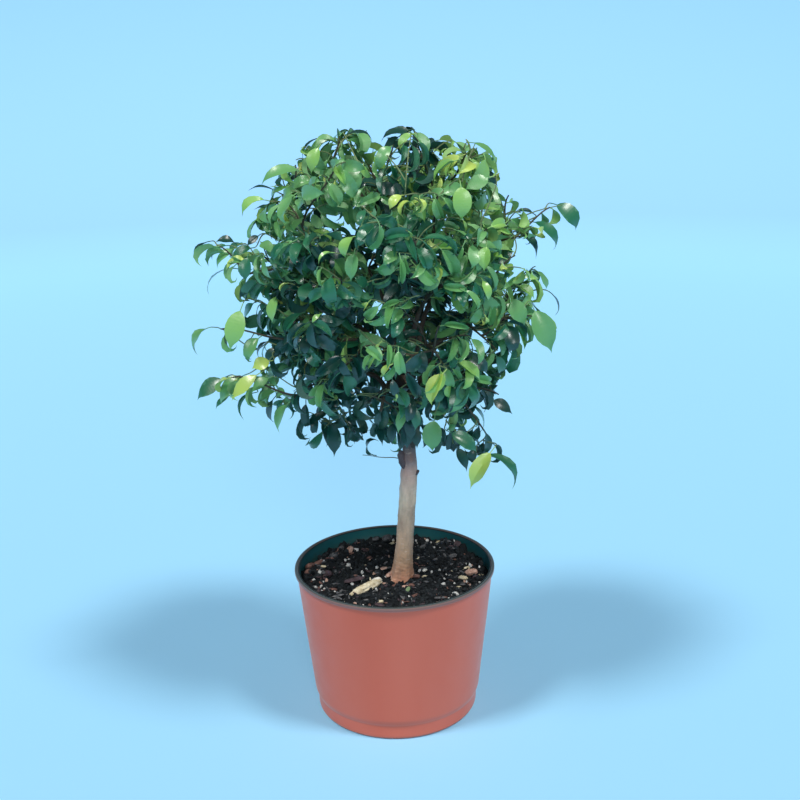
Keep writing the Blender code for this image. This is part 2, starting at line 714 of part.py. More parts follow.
def fuse(name, solids):
    """One solid from a stem and all that grows on it, by one Boolean union."""
    gathered = bpy.data.collections.new(f"{name}_growth")
    bpy.context.scene.collection.children.link(gathered)
    for solid in solids[1:]:
        placed("growth", mesh_of("growth", solid), "leaf", gathered)
    whole = placed(name, mesh_of(name, solids[0]), "leaf")
    union = whole.modifiers.new("union", "BOOLEAN")
    union.operation = "UNION"
    union.solver = "MANIFOLD"
    union.operand_type = "COLLECTION"
    union.collection = gathered
    apply_modifiers(whole)
    for grown in list(gathered.objects):
        bpy.data.objects.remove(grown, do_unlink=True)
    bpy.data.collections.remove(gathered)
    fill_pockets(whole.data)


# ---- the whole plant ----
def build_pot():
    pot = placed("pot", pot_mesh(), "terracotta_plastic")
    subtract(pot, drain_cutter())
    lining = placed("pot_lining", lining_mesh(), "green_plastic")
    smooth(pot.data)
    smooth(lining.data)
    placed("potting_mix", mix_mesh(), "potting_mix")


def build_trunk():
    mesh = trunk_mesh("trunk")
    smooth(mesh)
    placed("trunk", mesh, "bark")
    heights = np.linspace(TRUNK_FOOT.z, TRUNK_TIP.z, TRUNK_RINGS)
    return np.array([trunk_axis(h) for h in heights]), np.array([trunk_radius(h) for h in heights])


def build_head(trunk):
    plan = mass_plan()
    directions = np.array([direction for _, direction, _, _ in plan])
    limbs = [trunk, *(build_bough(*row) for row in plan)]
    planes = share_planes(directions)
    tips = np.array(head_tips(np.random.default_rng(SEED)))
    owners = np.argmax((tips - np.array(HUB)) @ directions.T, axis=1)
    for i, (name, direction, _, reach) in enumerate(plan):
        mass = Mass(direction, reach, planes[i], limbs, SEED + 1 + i)
        mass.grow(tips[owners == i])
        fuse(f"foliage_{name}", mass.solids)


def main():
    clear_scene()
    build_pot()
    build_head(build_trunk())


main()
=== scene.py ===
"""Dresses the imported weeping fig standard: pot, lining, potting mix, bark, twigs and leaves.

Metres, +Z up, in the frame's own place: the origin is the centre of the pot's flat underside, the front
is -Y and the right is +X. The stem, boughs, twigs and first leaves follow the same rule and seeds as the
part's own source, and finer side shoots with more leaves grow on from them within the same reach.
"""

from __future__ import annotations

import logging
import math
from dataclasses import dataclass, field
from enum import Enum
from typing import Iterator, Sequence

import bpy
import numpy as np
from mathutils import Matrix, Vector
from mathutils.bvhtree import BVHTree


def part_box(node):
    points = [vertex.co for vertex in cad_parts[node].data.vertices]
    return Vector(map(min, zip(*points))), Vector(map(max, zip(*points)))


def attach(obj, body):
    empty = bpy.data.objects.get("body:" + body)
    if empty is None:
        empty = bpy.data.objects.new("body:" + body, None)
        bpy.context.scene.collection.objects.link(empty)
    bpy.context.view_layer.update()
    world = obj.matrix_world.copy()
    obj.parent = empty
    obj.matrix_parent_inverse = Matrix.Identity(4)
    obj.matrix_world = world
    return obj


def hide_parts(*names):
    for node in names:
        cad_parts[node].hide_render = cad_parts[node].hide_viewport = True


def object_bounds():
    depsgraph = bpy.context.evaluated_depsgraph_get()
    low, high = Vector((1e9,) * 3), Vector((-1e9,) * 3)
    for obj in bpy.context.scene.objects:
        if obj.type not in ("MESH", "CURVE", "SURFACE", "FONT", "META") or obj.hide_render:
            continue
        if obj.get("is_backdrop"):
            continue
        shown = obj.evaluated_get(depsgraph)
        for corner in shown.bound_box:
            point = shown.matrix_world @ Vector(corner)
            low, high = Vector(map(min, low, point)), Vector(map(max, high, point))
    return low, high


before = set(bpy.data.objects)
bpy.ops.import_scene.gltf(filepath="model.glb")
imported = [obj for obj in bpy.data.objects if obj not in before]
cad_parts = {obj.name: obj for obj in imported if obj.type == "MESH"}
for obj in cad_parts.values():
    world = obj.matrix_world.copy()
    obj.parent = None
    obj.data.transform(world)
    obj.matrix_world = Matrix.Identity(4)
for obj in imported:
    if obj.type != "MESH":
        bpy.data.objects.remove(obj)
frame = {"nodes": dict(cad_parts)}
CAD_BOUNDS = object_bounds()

Array = np.ndarray
Material = bpy.types.Material
Piece = bpy.types.Object
Socket = bpy.types.NodeSocket
Colour = tuple[float, float, float]
Spots = tuple[tuple[float, float, float], ...]

LOG = logging.getLogger("weeping_fig")
BODY = "root"

UP = np.array((0.0, 0.0, 1.0))
LEVEL = np.array((1.0, 1.0, 0.0))
GOLDEN_ANGLE = math.pi * (3 - math.sqrt(5))
SEED = 7
CLEARANCE = 0.0003

POT_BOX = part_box("pot")
POT_HEIGHT = POT_BOX[1].z
POT_RIM_RADIUS = (POT_BOX[1].x - POT_BOX[0].x) / 2
LINING_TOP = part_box("pot_lining")[1].z
TRUNK_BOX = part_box("trunk")
MIX_LEVEL = TRUNK_BOX[0].z
HUB = np.array((0.012, -0.004, 0.386))
HEAD_CENTRE = np.array((0.003, 0.0, 0.43))


# ---- shapes as whole arrays ----
def length_of(vector: Array) -> float:
    """The length of one vector."""
    return float(np.linalg.norm(vector))


def unit(vectors: Array) -> Array:
    """Vectors of length one: v / |v|, over the last axis."""
    return vectors / np.maximum(np.linalg.norm(vectors, axis=-1, keepdims=True), 1e-12)


def circle(count: int) -> Array:
    """That many angles evenly round a circle."""
    return np.arange(count) * math.tau / count


def ring_stack(radii: Array, heights: Array, sides: int) -> Array:
    """(rows, sides, 3) level rings about Z: (r cos a, r sin a, z)."""
    angles, r = circle(sides), radii[:, None]
    return np.stack([r * np.cos(angles), r * np.sin(angles),
                     np.broadcast_to(heights[:, None], (len(r), sides))], axis=-1)


def placed(name: str, data: bpy.types.ID) -> Piece:
    """A new object in the scene, at the origin, that shows the data."""
    made = bpy.data.objects.new(name, data)
    bpy.context.scene.collection.objects.link(made)
    return made


def smooth_step(value: Array | float, low: float, high: float) -> Array:
    """3t^2 - 2t^3 with t = (value - low) / (high - low), held between 0 and 1."""
    t = np.clip((np.asarray(value, float) - low) / (high - low), 0.0, 1.0)
    return t * t * (3 - 2 * t)


def rolling(points: Array, size: float, seed: int, waves: int = 28) -> Array:
    """Smooth random relief of about -1 to 1, its waves about size long: a sum of sin(k . p + phase)."""
    rng = np.random.default_rng(seed)
    headings = unit(rng.normal(size=(waves, 3)))
    pitch = math.tau / (size * rng.uniform(0.6, 1.7, waves))
    phase = rng.uniform(0, math.tau, waves)
    total = np.sin(points @ (headings * pitch[:, None]).T + phase).sum(axis=-1)
    return total / math.sqrt(waves)


def bezier(start: Array, start_pull: Array, end_pull: Array, end: Array, count: int) -> Array:
    """count points of the cubic (1-t)^3 a + 3t(1-t)^2 b + 3t^2(1-t) c + t^3 d."""
    t = np.linspace(0.0, 1.0, count)[:, None]
    s = 1 - t
    return s**3 * start + 3 * t * s**2 * start_pull + 3 * t**2 * s * end_pull + t**3 * end


def runs_of(path: Array) -> Array:
    """Distance along a path from its start to each of its points."""
    return np.concatenate([[0.0], np.cumsum(np.linalg.norm(np.diff(path, axis=0), axis=1))])


def evened(path: Array, count: int, rounds: int = 2) -> Array:
    """count points spread evenly along a path, with its corners rounded off by averaging neighbours."""
    runs = runs_of(path)
    at = np.linspace(0.0, runs[-1], count)
    points = np.stack([np.interp(at, runs, path[:, axis]) for axis in range(3)], axis=1)
    for _ in range(rounds):
        points[1:-1] = (points[:-2] + 2 * points[1:-1] + points[2:]) / 4
    return points


def sweep(paths: Array, radii: Array, sides: int) -> Array:
    """Rings square to (n, rows, 3) paths, counter-clockwise: centre + r (cos a . across + sin a . third)."""
    along = unit(np.gradient(paths, axis=1))
    mean = np.abs(along.mean(axis=1))
    guide = np.eye(3)[np.argmin(mean, axis=1)][:, None]
    across = unit(guide - along * (along * guide).sum(axis=-1, keepdims=True))
    third = np.cross(along, across)
    angles = circle(sides)
    spokes = (np.cos(angles)[:, None] * across[..., None, :]
              + np.sin(angles)[:, None] * third[..., None, :])
    reach = radii[..., None] if radii.ndim < 3 else radii
    return paths[..., None, :] + reach[..., None] * spokes


def grid_faces(rows: int, columns: int) -> Array:
    """Quads of a grid whose columns wrap round: (i, j), (i, j+1), (i+1, j+1), (i+1, j)."""
    i = np.arange(rows - 1)[:, None] * columns
    j = np.arange(columns)[None, :]
    k = (j + 1) % columns
    corners = np.broadcast_arrays(i + j, i + k, i + columns + k, i + columns + j)
    return np.stack(corners, axis=-1).reshape(-1, 4)


def tube_faces(rows: int, sides: int) -> Array:
    """Faces of a closed tube, numbered row by row, then the foot's pole, then the head's."""
    i = np.arange(sides)
    j = (i + 1) % sides
    last, foot = (rows - 1) * sides, rows * sides
    none = np.full(sides, -1)
    feet = np.stack([j, i, np.full(sides, foot), none], axis=1)
    heads = np.stack([last + i, last + j, np.full(sides, foot + 1), none], axis=1)
    return np.concatenate([grid_faces(rows, sides), feet, heads])


class Skin:
    """The points, faces, finishes and pattern places of one piece as they are gathered."""

    def __init__(self) -> None:
        """Starts empty."""
        self.points: list[Array] = []
        self.faces: list[Array] = []
        self.wear: list[Array] = []
        self.uv: list[Array] = []
        self.count = 0

    def add(self, points: Array, faces: Array, wear: Array | int = 0, uv: Array | None = None) -> Skin:
        """Adds points and (n, 4) faces over them, -1 for a triangle's fourth corner, and their finishes."""
        points = points.reshape(-1, 3)
        self.points.append(points)
        self.faces.append(np.where(faces < 0, -1, faces + self.count))
        self.wear.append(np.broadcast_to(wear, (len(faces),)))
        self.uv.append(np.zeros((len(points), 2)) if uv is None else uv.reshape(-1, 2))
        self.count += len(points)
        return self

    def add_tubes(self, rings: Array, wear: Array | int = 0, uv: Array | None = None,
                  heads: Array | None = None) -> Skin:
        """Adds closed tubes of (n, rows, sides, 3) rings. They end in heads, or their last rings' middles."""
        n, rows, sides, _ = rings.shape
        ends = rings[:, -1].mean(axis=1) if heads is None else heads
        points = np.concatenate([rings.reshape(n, -1, 3), rings[:, 0].mean(axis=1)[:, None],
                                 ends[:, None]], axis=1)
        one = tube_faces(rows, sides)
        step = np.arange(n)[:, None, None] * points.shape[1]
        faces = np.where(one < 0, -1, one + step).reshape(-1, 4)
        wear = np.asarray(wear)
        if wear.ndim == 1:
            wear = wear[:, None]
        places = None
        if uv is not None:
            places = np.concatenate([uv.reshape(n, -1, 2), uv[:, 0].mean(axis=1)[:, None],
                                     uv[:, -1].mean(axis=1)[:, None]], axis=1)
        return self.add(points, faces, np.broadcast_to(wear, (n, len(one))).reshape(-1), places)

    def mesh(self, name: str, sharp: float) -> bpy.types.Mesh:
        """The gathered faces as one mesh, smooth but for edges sharper than that angle in degrees."""
        points, faces = np.concatenate(self.points), np.concatenate(self.faces)
        sizes = (faces >= 0).sum(axis=1)
        corners = faces[faces >= 0]
        made = bpy.data.meshes.new(name)
        made.vertices.add(len(points))
        made.vertices.foreach_set("co", points.astype(np.float32).ravel())
        made.loops.add(len(corners))
        made.loops.foreach_set("vertex_index", corners.astype(np.int32))
        made.polygons.add(len(faces))
        made.polygons.foreach_set("loop_start", (np.cumsum(sizes) - sizes).astype(np.int32))
        made.polygons.foreach_set("material_index", np.concatenate(self.wear).astype(np.int32))
        made.update(calc_edges=True)
        layer = made.uv_layers.new(name="Place")
        layer.data.foreach_set("uv", np.concatenate(self.uv)[corners].astype(np.float32).ravel())
        made.shade_smooth()
        made.set_sharp_from_angle(angle=math.radians(sharp))
        return made

    def piece(self, name: str, slot: str, finishes: Sequence[Material], *nodes: str,
              sharp: float = 45.0) -> Piece:
        """The finished piece, in place of the frame's nodes, in the finishes that wear numbers."""
        made = placed(name, self.mesh(name, sharp))
        for finish in finishes:
            made.data.materials.append(finish)
        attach(made, BODY)
        if nodes:
            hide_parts(*nodes)
        LOG.info("%s: %d faces", name, len(made.data.polygons))
        return made


# ---- finishes ----
class Recipe:
    """A material's node tree, with short ways to add to it and join it up."""

    def __init__(self, name: str, colour: Colour, roughness: float, specular: float = 0.5) -> None:
        """Makes the material with one Principled shader, whose sockets take the plain values."""
        self.material = bpy.data.materials.new(name)
        self.material.use_nodes = True
        self.tree = self.material.node_tree
        self.shader = self.tree.nodes["Principled BSDF"]
        self.set("Base Color", (*colour, 1.0))
        self.set("Roughness", roughness)
        self.set("Specular IOR Level", specular)

    def set(self, socket: str, value: float | tuple[float, ...]) -> None:
        """Sets one of the shader's own sockets."""
        self.shader.inputs[socket].default_value = value

    def feed(self, socket: Socket, value: object) -> None:
        """Gives a socket a value, or another socket to take its value from."""
        if isinstance(value, Socket):
            self.tree.links.new(value, socket)
        else:
            socket.default_value = value

    def node(self, kind: str, **inputs: object) -> bpy.types.Node:
        """A new node. Each input is a value, or a socket to link from; _ in its name is a space."""
        made = self.tree.nodes.new(f"ShaderNode{kind}")
        for name, value in inputs.items():
            self.feed(made.inputs[name.replace("_", " ")], value)
        return made

    def link(self, source: Socket, socket: str) -> None:
        """Joins a socket to one of the shader's own."""
        self.tree.links.new(source, self.shader.inputs[socket])

    def place(self, stretch: tuple[float, float, float] = (1, 1, 1), kind: str = "Object") -> Socket:
        """Object or UV coordinates, stretched along each axis."""
        here = self.node("TexCoord").outputs[kind]
        return self.node("Mapping", Vector=here, Scale=stretch).outputs[0]

    def noise(self, scale: float, detail: float = 3.0, stretch: tuple[float, float, float] = (1, 1, 1),
              rough: float = 0.55) -> Socket:
        """Noise between 0 and 1 whose features are about 1 / scale metres apart."""
        made = self.node("TexNoise", Vector=self.place(stretch), Scale=scale, Detail=detail,
                         Roughness=rough)
        return made.outputs["Fac"]

    def ramp(self, value: Socket, *stops: tuple[float, Colour]) -> Socket:
        """A colour for each value, between the stops."""
        made = self.node("ValToRGB", Fac=value)
        band = made.color_ramp
        for i, (at, colour) in enumerate(stops):
            stop = band.elements[i] if i < 2 else band.elements.new(at)
            stop.position = at
            stop.color = (*colour, 1.0)
        return made.outputs["Color"]

    def range(self, value: Socket, low: float, high: float, to_low: float, to_high: float) -> Socket:
        """A value carried from one range to another and held there."""
        made = self.node("MapRange", Value=value)
        for name, number in (("From Min", low), ("From Max", high), ("To Min", to_low),
                             ("To Max", to_high)):
            made.inputs[name].default_value = number
        return made.outputs["Result"]

    def blend(self, share: Socket, first: Socket | Colour, second: Socket | Colour) -> Socket:
        """The first colour where share is 0 and the second where it is 1."""
        made = self.tree.nodes.new("ShaderNodeMix")
        made.data_type = "RGBA"
        self.tree.links.new(share, made.inputs[0])
        for socket, value in ((made.inputs[6], first), (made.inputs[7], second)):
            self.feed(socket, value if isinstance(value, Socket) else (*value, 1.0))
        return made.outputs[2]

    def height(self, axis: str = "Z") -> Socket:
        """Height of a place in the frame, in metres."""
        parts = self.node("SeparateXYZ", Vector=self.node("TexCoord").outputs["Object"])
        return parts.outputs[axis]

    def bump(self, *layers: tuple[Socket, float, float]) -> None:
        """Relief from (height from 0 to 1, strength, depth in metres) layers, one over another."""
        normal: Socket | None = None
        for value, strength, depth in layers:
            made = self.node("Bump", Height=value, Strength=strength, Distance=depth)
            if normal is not None:
                self.tree.links.new(normal, made.inputs["Normal"])
            normal = made.outputs["Normal"]
        if normal is not None:
            self.link(normal, "Normal")


@dataclass(frozen=True)
class PotPlastic:
    """Satin terracotta-coloured plastic, with a painted reflection in brown-grey on the lip, dark on top, and
    faint streaks.
    """

    colour: Colour = (0.648, 0.121, 0.066)
    faded: Colour = (0.68, 0.15, 0.092)
    # lip is a painted reflection: the brown-grey light that the rolled lip shows
    lip: Colour = (0.25, 0.125, 0.105)
    top: Colour = (0.06, 0.068, 0.062)
    roughness: float = 0.46
    lip_reflection_foot: float = 0.146

    def material(self) -> Material:
        """The material."""
        recipe = Recipe("terracotta_plastic", self.colour, self.roughness, 0.25)
        recipe.set("Sheen Weight", 0.22)
        recipe.set("Sheen Roughness", 0.45)
        recipe.set("Sheen Tint", (0.75, 0.92, 1.0, 1.0))
        streaks = recipe.noise(9.0, 4.0, (1.0, 1.0, 0.12))
        skin = recipe.ramp(streaks, (0.32, self.colour), (0.68, self.faded))
        height = recipe.height()
        # Painted reflection: the brown-grey lip colour blends in over 4 mm from the foot of the lip up
        rise = recipe.range(height, self.lip_reflection_foot, self.lip_reflection_foot + 0.004, 0.0, 1.0)
        over = recipe.range(height, POT_HEIGHT - 0.0007, POT_HEIGHT - 0.0002, 0.0, 1.0)
        recipe.link(recipe.blend(over, recipe.blend(rise, skin, self.lip), self.top), "Base Color")
        recipe.link(recipe.range(recipe.noise(55.0, 5.0), 0.3, 0.7, 0.4, 0.56), "Roughness")
        recipe.bump((recipe.noise(1100.0, 2.0), 0.16, 0.0004), (recipe.noise(16.0, 2.0), 0.2, 0.0016))
        return recipe.material


@dataclass(frozen=True)
class LiningPlastic:
    """Dark green plastic, dusted with dried mix just above its surface."""

    colour: Colour = (0.014, 0.115, 0.122)
    dust: Colour = (0.06, 0.105, 0.1)
    edge: Colour = (0.022, 0.03, 0.028)
    roughness: float = 0.38
    dust_height: float = 0.007

    def material(self) -> Material:
        """The material."""
        recipe = Recipe("green_plastic", self.colour, self.roughness)
        clean = recipe.range(recipe.height(), MIX_LEVEL, MIX_LEVEL + self.dust_height, 0.85, 0.0)
        patches = recipe.range(recipe.noise(160.0, 5.0), 0.4, 0.62, 0.0, 1.0)
        both = recipe.node("Math")
        both.operation = "MULTIPLY"
        recipe.tree.links.new(clean, both.inputs[0])
        recipe.tree.links.new(patches, both.inputs[1])
        over = recipe.range(recipe.height(), LINING_TOP - 0.0016, LINING_TOP - 0.0006, 0.0, 1.0)
        dusty = recipe.blend(both.outputs[0], self.colour, self.dust)
        recipe.link(recipe.blend(over, dusty, self.edge), "Base Color")
        recipe.link(recipe.range(both.outputs[0], 0.0, 1.0, self.roughness, 0.85), "Roughness")
        recipe.bump((recipe.noise(900.0, 2.0), 0.15, 0.0004))
        return recipe.material


@dataclass(frozen=True)
class Grainy:
    """A rough, crumbly or fibrous finish between two colours: mix, perlite, chips."""

    name: str
    dark: Colour
    light: Colour
    roughness: float
    scale: float
    relief: float
    stretch: tuple[float, float, float] = (1.0, 1.0, 1.0)

    def material(self) -> Material:
        """The material."""
        recipe = Recipe(self.name, self.dark, self.roughness, 0.35)
        grain = recipe.noise(self.scale, 5.0, self.stretch, 0.65)
        recipe.link(recipe.ramp(grain, (0.35, self.dark), (0.68, self.light)), "Base Color")
        recipe.bump((recipe.noise(self.scale * 2.5, 4.0, self.stretch), 0.7, self.relief))
        return recipe.material


@dataclass(frozen=True)
class Bark:
    """Bark: a ground colour, darker stains, pale corky marks that run round, and fine furrows.

    bands are (height in metres, ground colour) up the stem, in place of the one ground colour; they may also
    hold painted light and shade.
    """

    name: str
    ground: Colour
    stain: Colour
    pale: Colour
    roughness: float = 0.78
    bands: tuple[tuple[float, Colour], ...] = ()

    def material(self) -> Material:
        """The material."""
        recipe = Recipe(self.name, self.ground, self.roughness, 0.35)
        ground: Socket | Colour = self.ground
        if self.bands:
            low, high = self.bands[0][0], self.bands[-1][0]
            share = recipe.range(recipe.height(), low, high, 0.0, 1.0)
            ground = recipe.ramp(share, *(((at - low) / (high - low), colour) for at, colour in self.bands))
        clean = recipe.range(recipe.noise(46.0, 5.0, (1.0, 1.0, 0.45)), 0.34, 0.58, 0.0, 1.0)
        patches = recipe.blend(clean, self.stain, ground)
        marks = recipe.range(recipe.noise(260.0, 3.0, (0.5, 0.5, 2.0)), 0.58, 0.75, 0.0, 0.6)
        recipe.link(recipe.blend(marks, patches, self.pale), "Base Color")
        recipe.link(recipe.range(clean, 0.0, 1.0, 0.88, 0.66), "Roughness")
        recipe.bump((recipe.noise(900.0, 4.0, (1.0, 1.0, 0.35)), 0.35, 0.0005),
                    (recipe.noise(420.0, 3.0, (0.4, 0.4, 2.2)), 0.3, 0.0006))
        return recipe.material


@dataclass(frozen=True)
class LeafFace:
    """One face of a leaf: a plain colour, with veins and puckers in its relief and its gloss."""

    name: str
    colour: Colour
    roughness: float
    coat: float
    vein: float

    def material(self) -> Material:
        """The material. Its relief follows the leaf's own length and width."""
        recipe = Recipe(self.name, self.colour, self.roughness)
        recipe.set("Coat Weight", self.coat)
        recipe.set("Coat Roughness", 0.24)
        ribs = recipe.tree.nodes.new("ShaderNodeTexWave")
        ribs.inputs["Scale"].default_value = 5.0
        ribs.inputs["Distortion"].default_value = 1.2
        recipe.tree.links.new(recipe.place((1.0, 0.55, 1.0), "UV"), ribs.inputs["Vector"])
        recipe.bump((ribs.outputs["Fac"], self.vein, 0.0005), (recipe.noise(260.0, 3.0), 0.3, 0.0009))
        return recipe.material


class Tone(Enum):
    """How old a spray's leaves look, with painted shade in DEEP and painted highlight in BRIGHT and FRESH:
    (upper face, underside) base colours.
    """

    DEEP = ((0.001, 0.048, 0.034), (0.014, 0.086, 0.062))
    MID = ((0.018, 0.146, 0.066), (0.048, 0.198, 0.102))
    BRIGHT = ((0.126, 0.345, 0.112), (0.158, 0.362, 0.142))
    FRESH = ((0.232, 0.475, 0.105), (0.25, 0.47, 0.14))
    LIME = ((0.46, 0.62, 0.12), (0.42, 0.58, 0.155))

    def faces(self) -> tuple[LeafFace, LeafFace]:
        """The finishes of a leaf's upper face and its underside."""
        word = self.name.lower()
        return (LeafFace(f"leaf_{word}", self.value[0], 0.4, 0.62, 0.07),
                LeafFace(f"leaf_under_{word}", self.value[1], 0.55, 0.0, 0.15))

    def younger(self) -> Tone:
        """The next lighter tone."""
        tones = list(Tone)
        return tones[min(tones.index(self) + 1, len(tones) - 1)]


DEEP, MID, BRIGHT, FRESH, LIME = Tone


# ---- camera ----
@dataclass(frozen=True)
class Camera:
    """The camera: where it stands and how it is turned, in degrees."""

    place: tuple[float, float, float] = (0.0, -1.04043, 0.6258)
    down: float = 16.147
    right: float = 0.506
    roll: float = -1.245
    lens: float = 50.0
    sensor: float = 36.0
    frame: float = 800.0

    def matrix(self) -> Matrix:
        """Where it stands and how it is turned."""
        turn = (Matrix.Rotation(-math.radians(self.right), 4, "Z")
                @ Matrix.Rotation(math.radians(90 - self.down), 4, "X")
                @ Matrix.Rotation(math.radians(self.roll), 4, "Z"))
        return Matrix.Translation(self.place) @ turn

    def ray(self, across: float, down: float) -> Array:
        """Unit vector from the camera through a pixel of its frame."""
        focal = self.lens / self.sensor * self.frame
        seen = Vector((across - self.frame / 2, self.frame / 2 - down, -focal))
        return unit(np.array(self.matrix().to_3x3() @ seen))

    def seen_at(self, across: float, down: float, back: float) -> Array:
        """The place seen at a pixel of its frame, that far behind the pot's middle."""
        way = self.ray(across, down)
        return np.array(self.place) + way * (back - self.place[1]) / way[1]

    def pixels(self, points: Array) -> Array:
        """The pixels of its frame in which places are seen, (across, down) over the last axis."""
        seen = (points - np.array(self.place)) @ np.array(self.matrix().to_3x3())
        focal = self.lens / self.sensor * self.frame
        return self.frame / 2 + focal * seen[..., :2] * (1.0, -1.0) / -seen[..., 2:]

    def on_level(self, across: float, down: float, height: float) -> Array:
        """The place seen at a pixel of its frame, at that height."""
        way = self.ray(across, down)
        return np.array(self.place) + way * (height - self.place[2]) / way[2]

    def build(self) -> None:
        """The scene's camera."""
        data = bpy.data.cameras.new("camera")
        data.lens, data.sensor_width = self.lens, self.sensor
        made = placed("camera", data)
        made.matrix_world = self.matrix()
        bpy.context.scene.camera = made


CAMERA = Camera()


# ---- pot ----
@dataclass
class Pot:
    """The turned pot: rounded foot, stepped-in base, tapered wall, narrow lip, six drain holes."""

    foot_radius: float = 0.0822
    foot_round: float = 0.003
    foot_height: float = 0.015
    low_radius: float = 0.0853
    step_top: float = 0.0215
    top_radius: float = 0.0993
    lip_height: float = 0.0042
    wall: float = 0.0014
    floor: float = 0.002
    lining: float = 0.0007
    round_off: float = 0.0012
    sides: int = 192
    holes: int = 6
    hole_radius: float = 0.005
    hole_circle: float = 0.056
    finish: PotPlastic = field(default_factory=PotPlastic)
    lining_finish: LiningPlastic = field(default_factory=LiningPlastic)
    # A fibre stuck to the wall: (heading from the front in degrees, height) of places along it.
    fibre: tuple[tuple[float, float], ...] = ((19.0, 0.1476), (19.3, 0.144), (18.4, 0.14), (17.3, 0.1362))
    fibre_radius: float = 0.00022

    def inner_profile(self, inset: float) -> list[tuple[float, float]]:
        """(radius, height) of the inside from the floor to the lip's foot, moved in by inset."""
        return [
            (self.foot_radius - self.wall - inset, self.floor + inset),
            (self.foot_radius - self.wall - inset, self.foot_height),
            (self.low_radius - self.wall - inset, self.step_top + self.wall / 2),
            (self.top_radius - self.wall - inset, POT_HEIGHT - self.lip_height),
        ]

    def wall_radius(self, inset: float, height: Array | float) -> Array | float:
        """Radius of the tapered inner wall, moved in by inset, at a height."""
        (low_radius, low), (top_radius, top) = self.inner_profile(inset)[2:]
        return low_radius + (top_radius - low_radius) * (height - low) / (top - low)

    def rounded(self, profile: Sequence[tuple[float, float]], radius: float, steps: int = 5) -> Array:
        """A profile whose corners are bent by curves: p = (1-t)^2 a + 2t(1-t) b + t^2 c."""
        corners = np.array(profile)
        points = [corners[:1]]
        t = np.linspace(0.0, 1.0, steps)[:, None]
        for before, corner, after in zip(corners, corners[1:], corners[2:]):
            reach = [min(radius, 0.45 * length_of(end - corner)) for end in (before, after)]
            a = corner + unit(before - corner) * reach[0]
            c = corner + unit(after - corner) * reach[1]
            points.append((1 - t) ** 2 * a + 2 * t * (1 - t) * corner + t**2 * c)
        return np.concatenate([*points, corners[-1:]])

    def divided(self, profile: Array, step: float) -> Array:
        """The profile with points added so that none are further apart than step."""
        parts = []
        for a, b in zip(profile, profile[1:]):
            count = max(1, math.ceil(length_of(b - a) / step))
            parts.append(a + (b - a) * np.arange(count)[:, None] / count)
        return np.concatenate([*parts, profile[-1:]])

    def turned(self, profile: Array, sides: int) -> tuple[Array, Array]:
        """Points and faces of the profile spun about Z, from pole to pole."""
        rows = profile[1:-1]
        rings = ring_stack(rows[:, 0], rows[:, 1], sides)
        poles = np.array([(0, 0, profile[0, 1]), (0, 0, profile[-1, 1])])
        return np.concatenate([rings.reshape(-1, 3), poles]), tube_faces(len(rows), sides)

    def outside(self) -> list[tuple[float, float]]:
        """(radius, height) corners of the outside, from the middle of the underside to the rim."""
        lip = POT_HEIGHT - self.lip_height
        return [
            (0.0, 0.0),
            (self.foot_radius - self.foot_round, 0.0),
            (self.foot_radius - 0.3 * self.foot_round, 0.3 * self.foot_round),
            (self.foot_radius, self.foot_round),
            (self.foot_radius + 0.0003, self.foot_height),
            (self.low_radius - self.round_off, self.foot_height + 0.0028),
            (self.low_radius, self.step_top),
            (self.top_radius, lip),
            (POT_RIM_RADIUS, lip + self.round_off * 0.6),
            (POT_RIM_RADIUS, POT_HEIGHT),
            (self.top_radius - self.wall + 0.0004, POT_HEIGHT),
        ]

    def build_wall(self) -> Piece:
        """The pot's own body, drilled for its drain holes."""
        inside = [*reversed(self.inner_profile(0.0)), (0.0, self.floor)]
        profile = self.divided(self.rounded([*self.outside(), *inside], self.round_off), 0.004)
        points, faces = self.turned(profile, self.sides)
        heights = points[:, 2:]
        sway = rolling(points, 0.11, 41)[:, None] * 0.00018 * smooth_step(heights, 0.02, 0.12)
        points[:, :2] *= 1 + sway / self.top_radius
        made = Skin().add(points, faces).piece(
            "pot_wall", "pot_terracotta", [self.finish.material()], "pot", sharp=50.0)
        self.drill(made)
        return made

    def drill(self, made: Piece) -> None:
        """Cuts the ring of drain holes through the floor."""
        turns = (np.arange(self.holes) + 0.5) * math.tau / self.holes
        middles = self.hole_circle * np.stack([np.cos(turns), np.sin(turns), 0 * turns], axis=1)
        heights = np.array((-1.0, 2.0, 5.0)) * self.floor
        paths = middles[:, None] + heights[None, :, None] * UP
        radii = np.full((self.holes, 3), self.hole_radius)
        cutter = placed("drill", Skin().add_tubes(sweep(paths, radii, 32)).mesh("drill", 30.0))
        cut = made.modifiers.new("drill", "BOOLEAN")
        cut.operation = "DIFFERENCE"
        cut.object = cutter
        drilled = bpy.data.meshes.new_from_object(
            made.evaluated_get(bpy.context.evaluated_depsgraph_get()))
        made.modifiers.clear()
        made.data = drilled
        bpy.data.objects.remove(cutter, do_unlink=True)

    def build_lining(self) -> Piece:
        """The dark inner layer: a ring-shaped sleeve from the floor to the rim."""
        outer = self.inner_profile(CLEARANCE)
        inner = self.inner_profile(CLEARANCE + self.lining)
        inner[0] = (inner[0][0], outer[0][1])
        ring = [*outer, (outer[-1][0], LINING_TOP), (inner[-1][0], LINING_TOP), *reversed(inner)]
        profile = self.divided(np.array([*ring, ring[0]]), 0.004)[:-1]
        rings = ring_stack(profile[:, 0], profile[:, 1], self.sides).swapaxes(0, 1)
        faces = grid_faces(self.sides + 1, len(profile)) % (self.sides * len(profile))
        return Skin().add(rings, faces[:, ::-1]).piece(
            "dark_lining", "pot_green", [self.lining_finish.material()], "pot_lining")

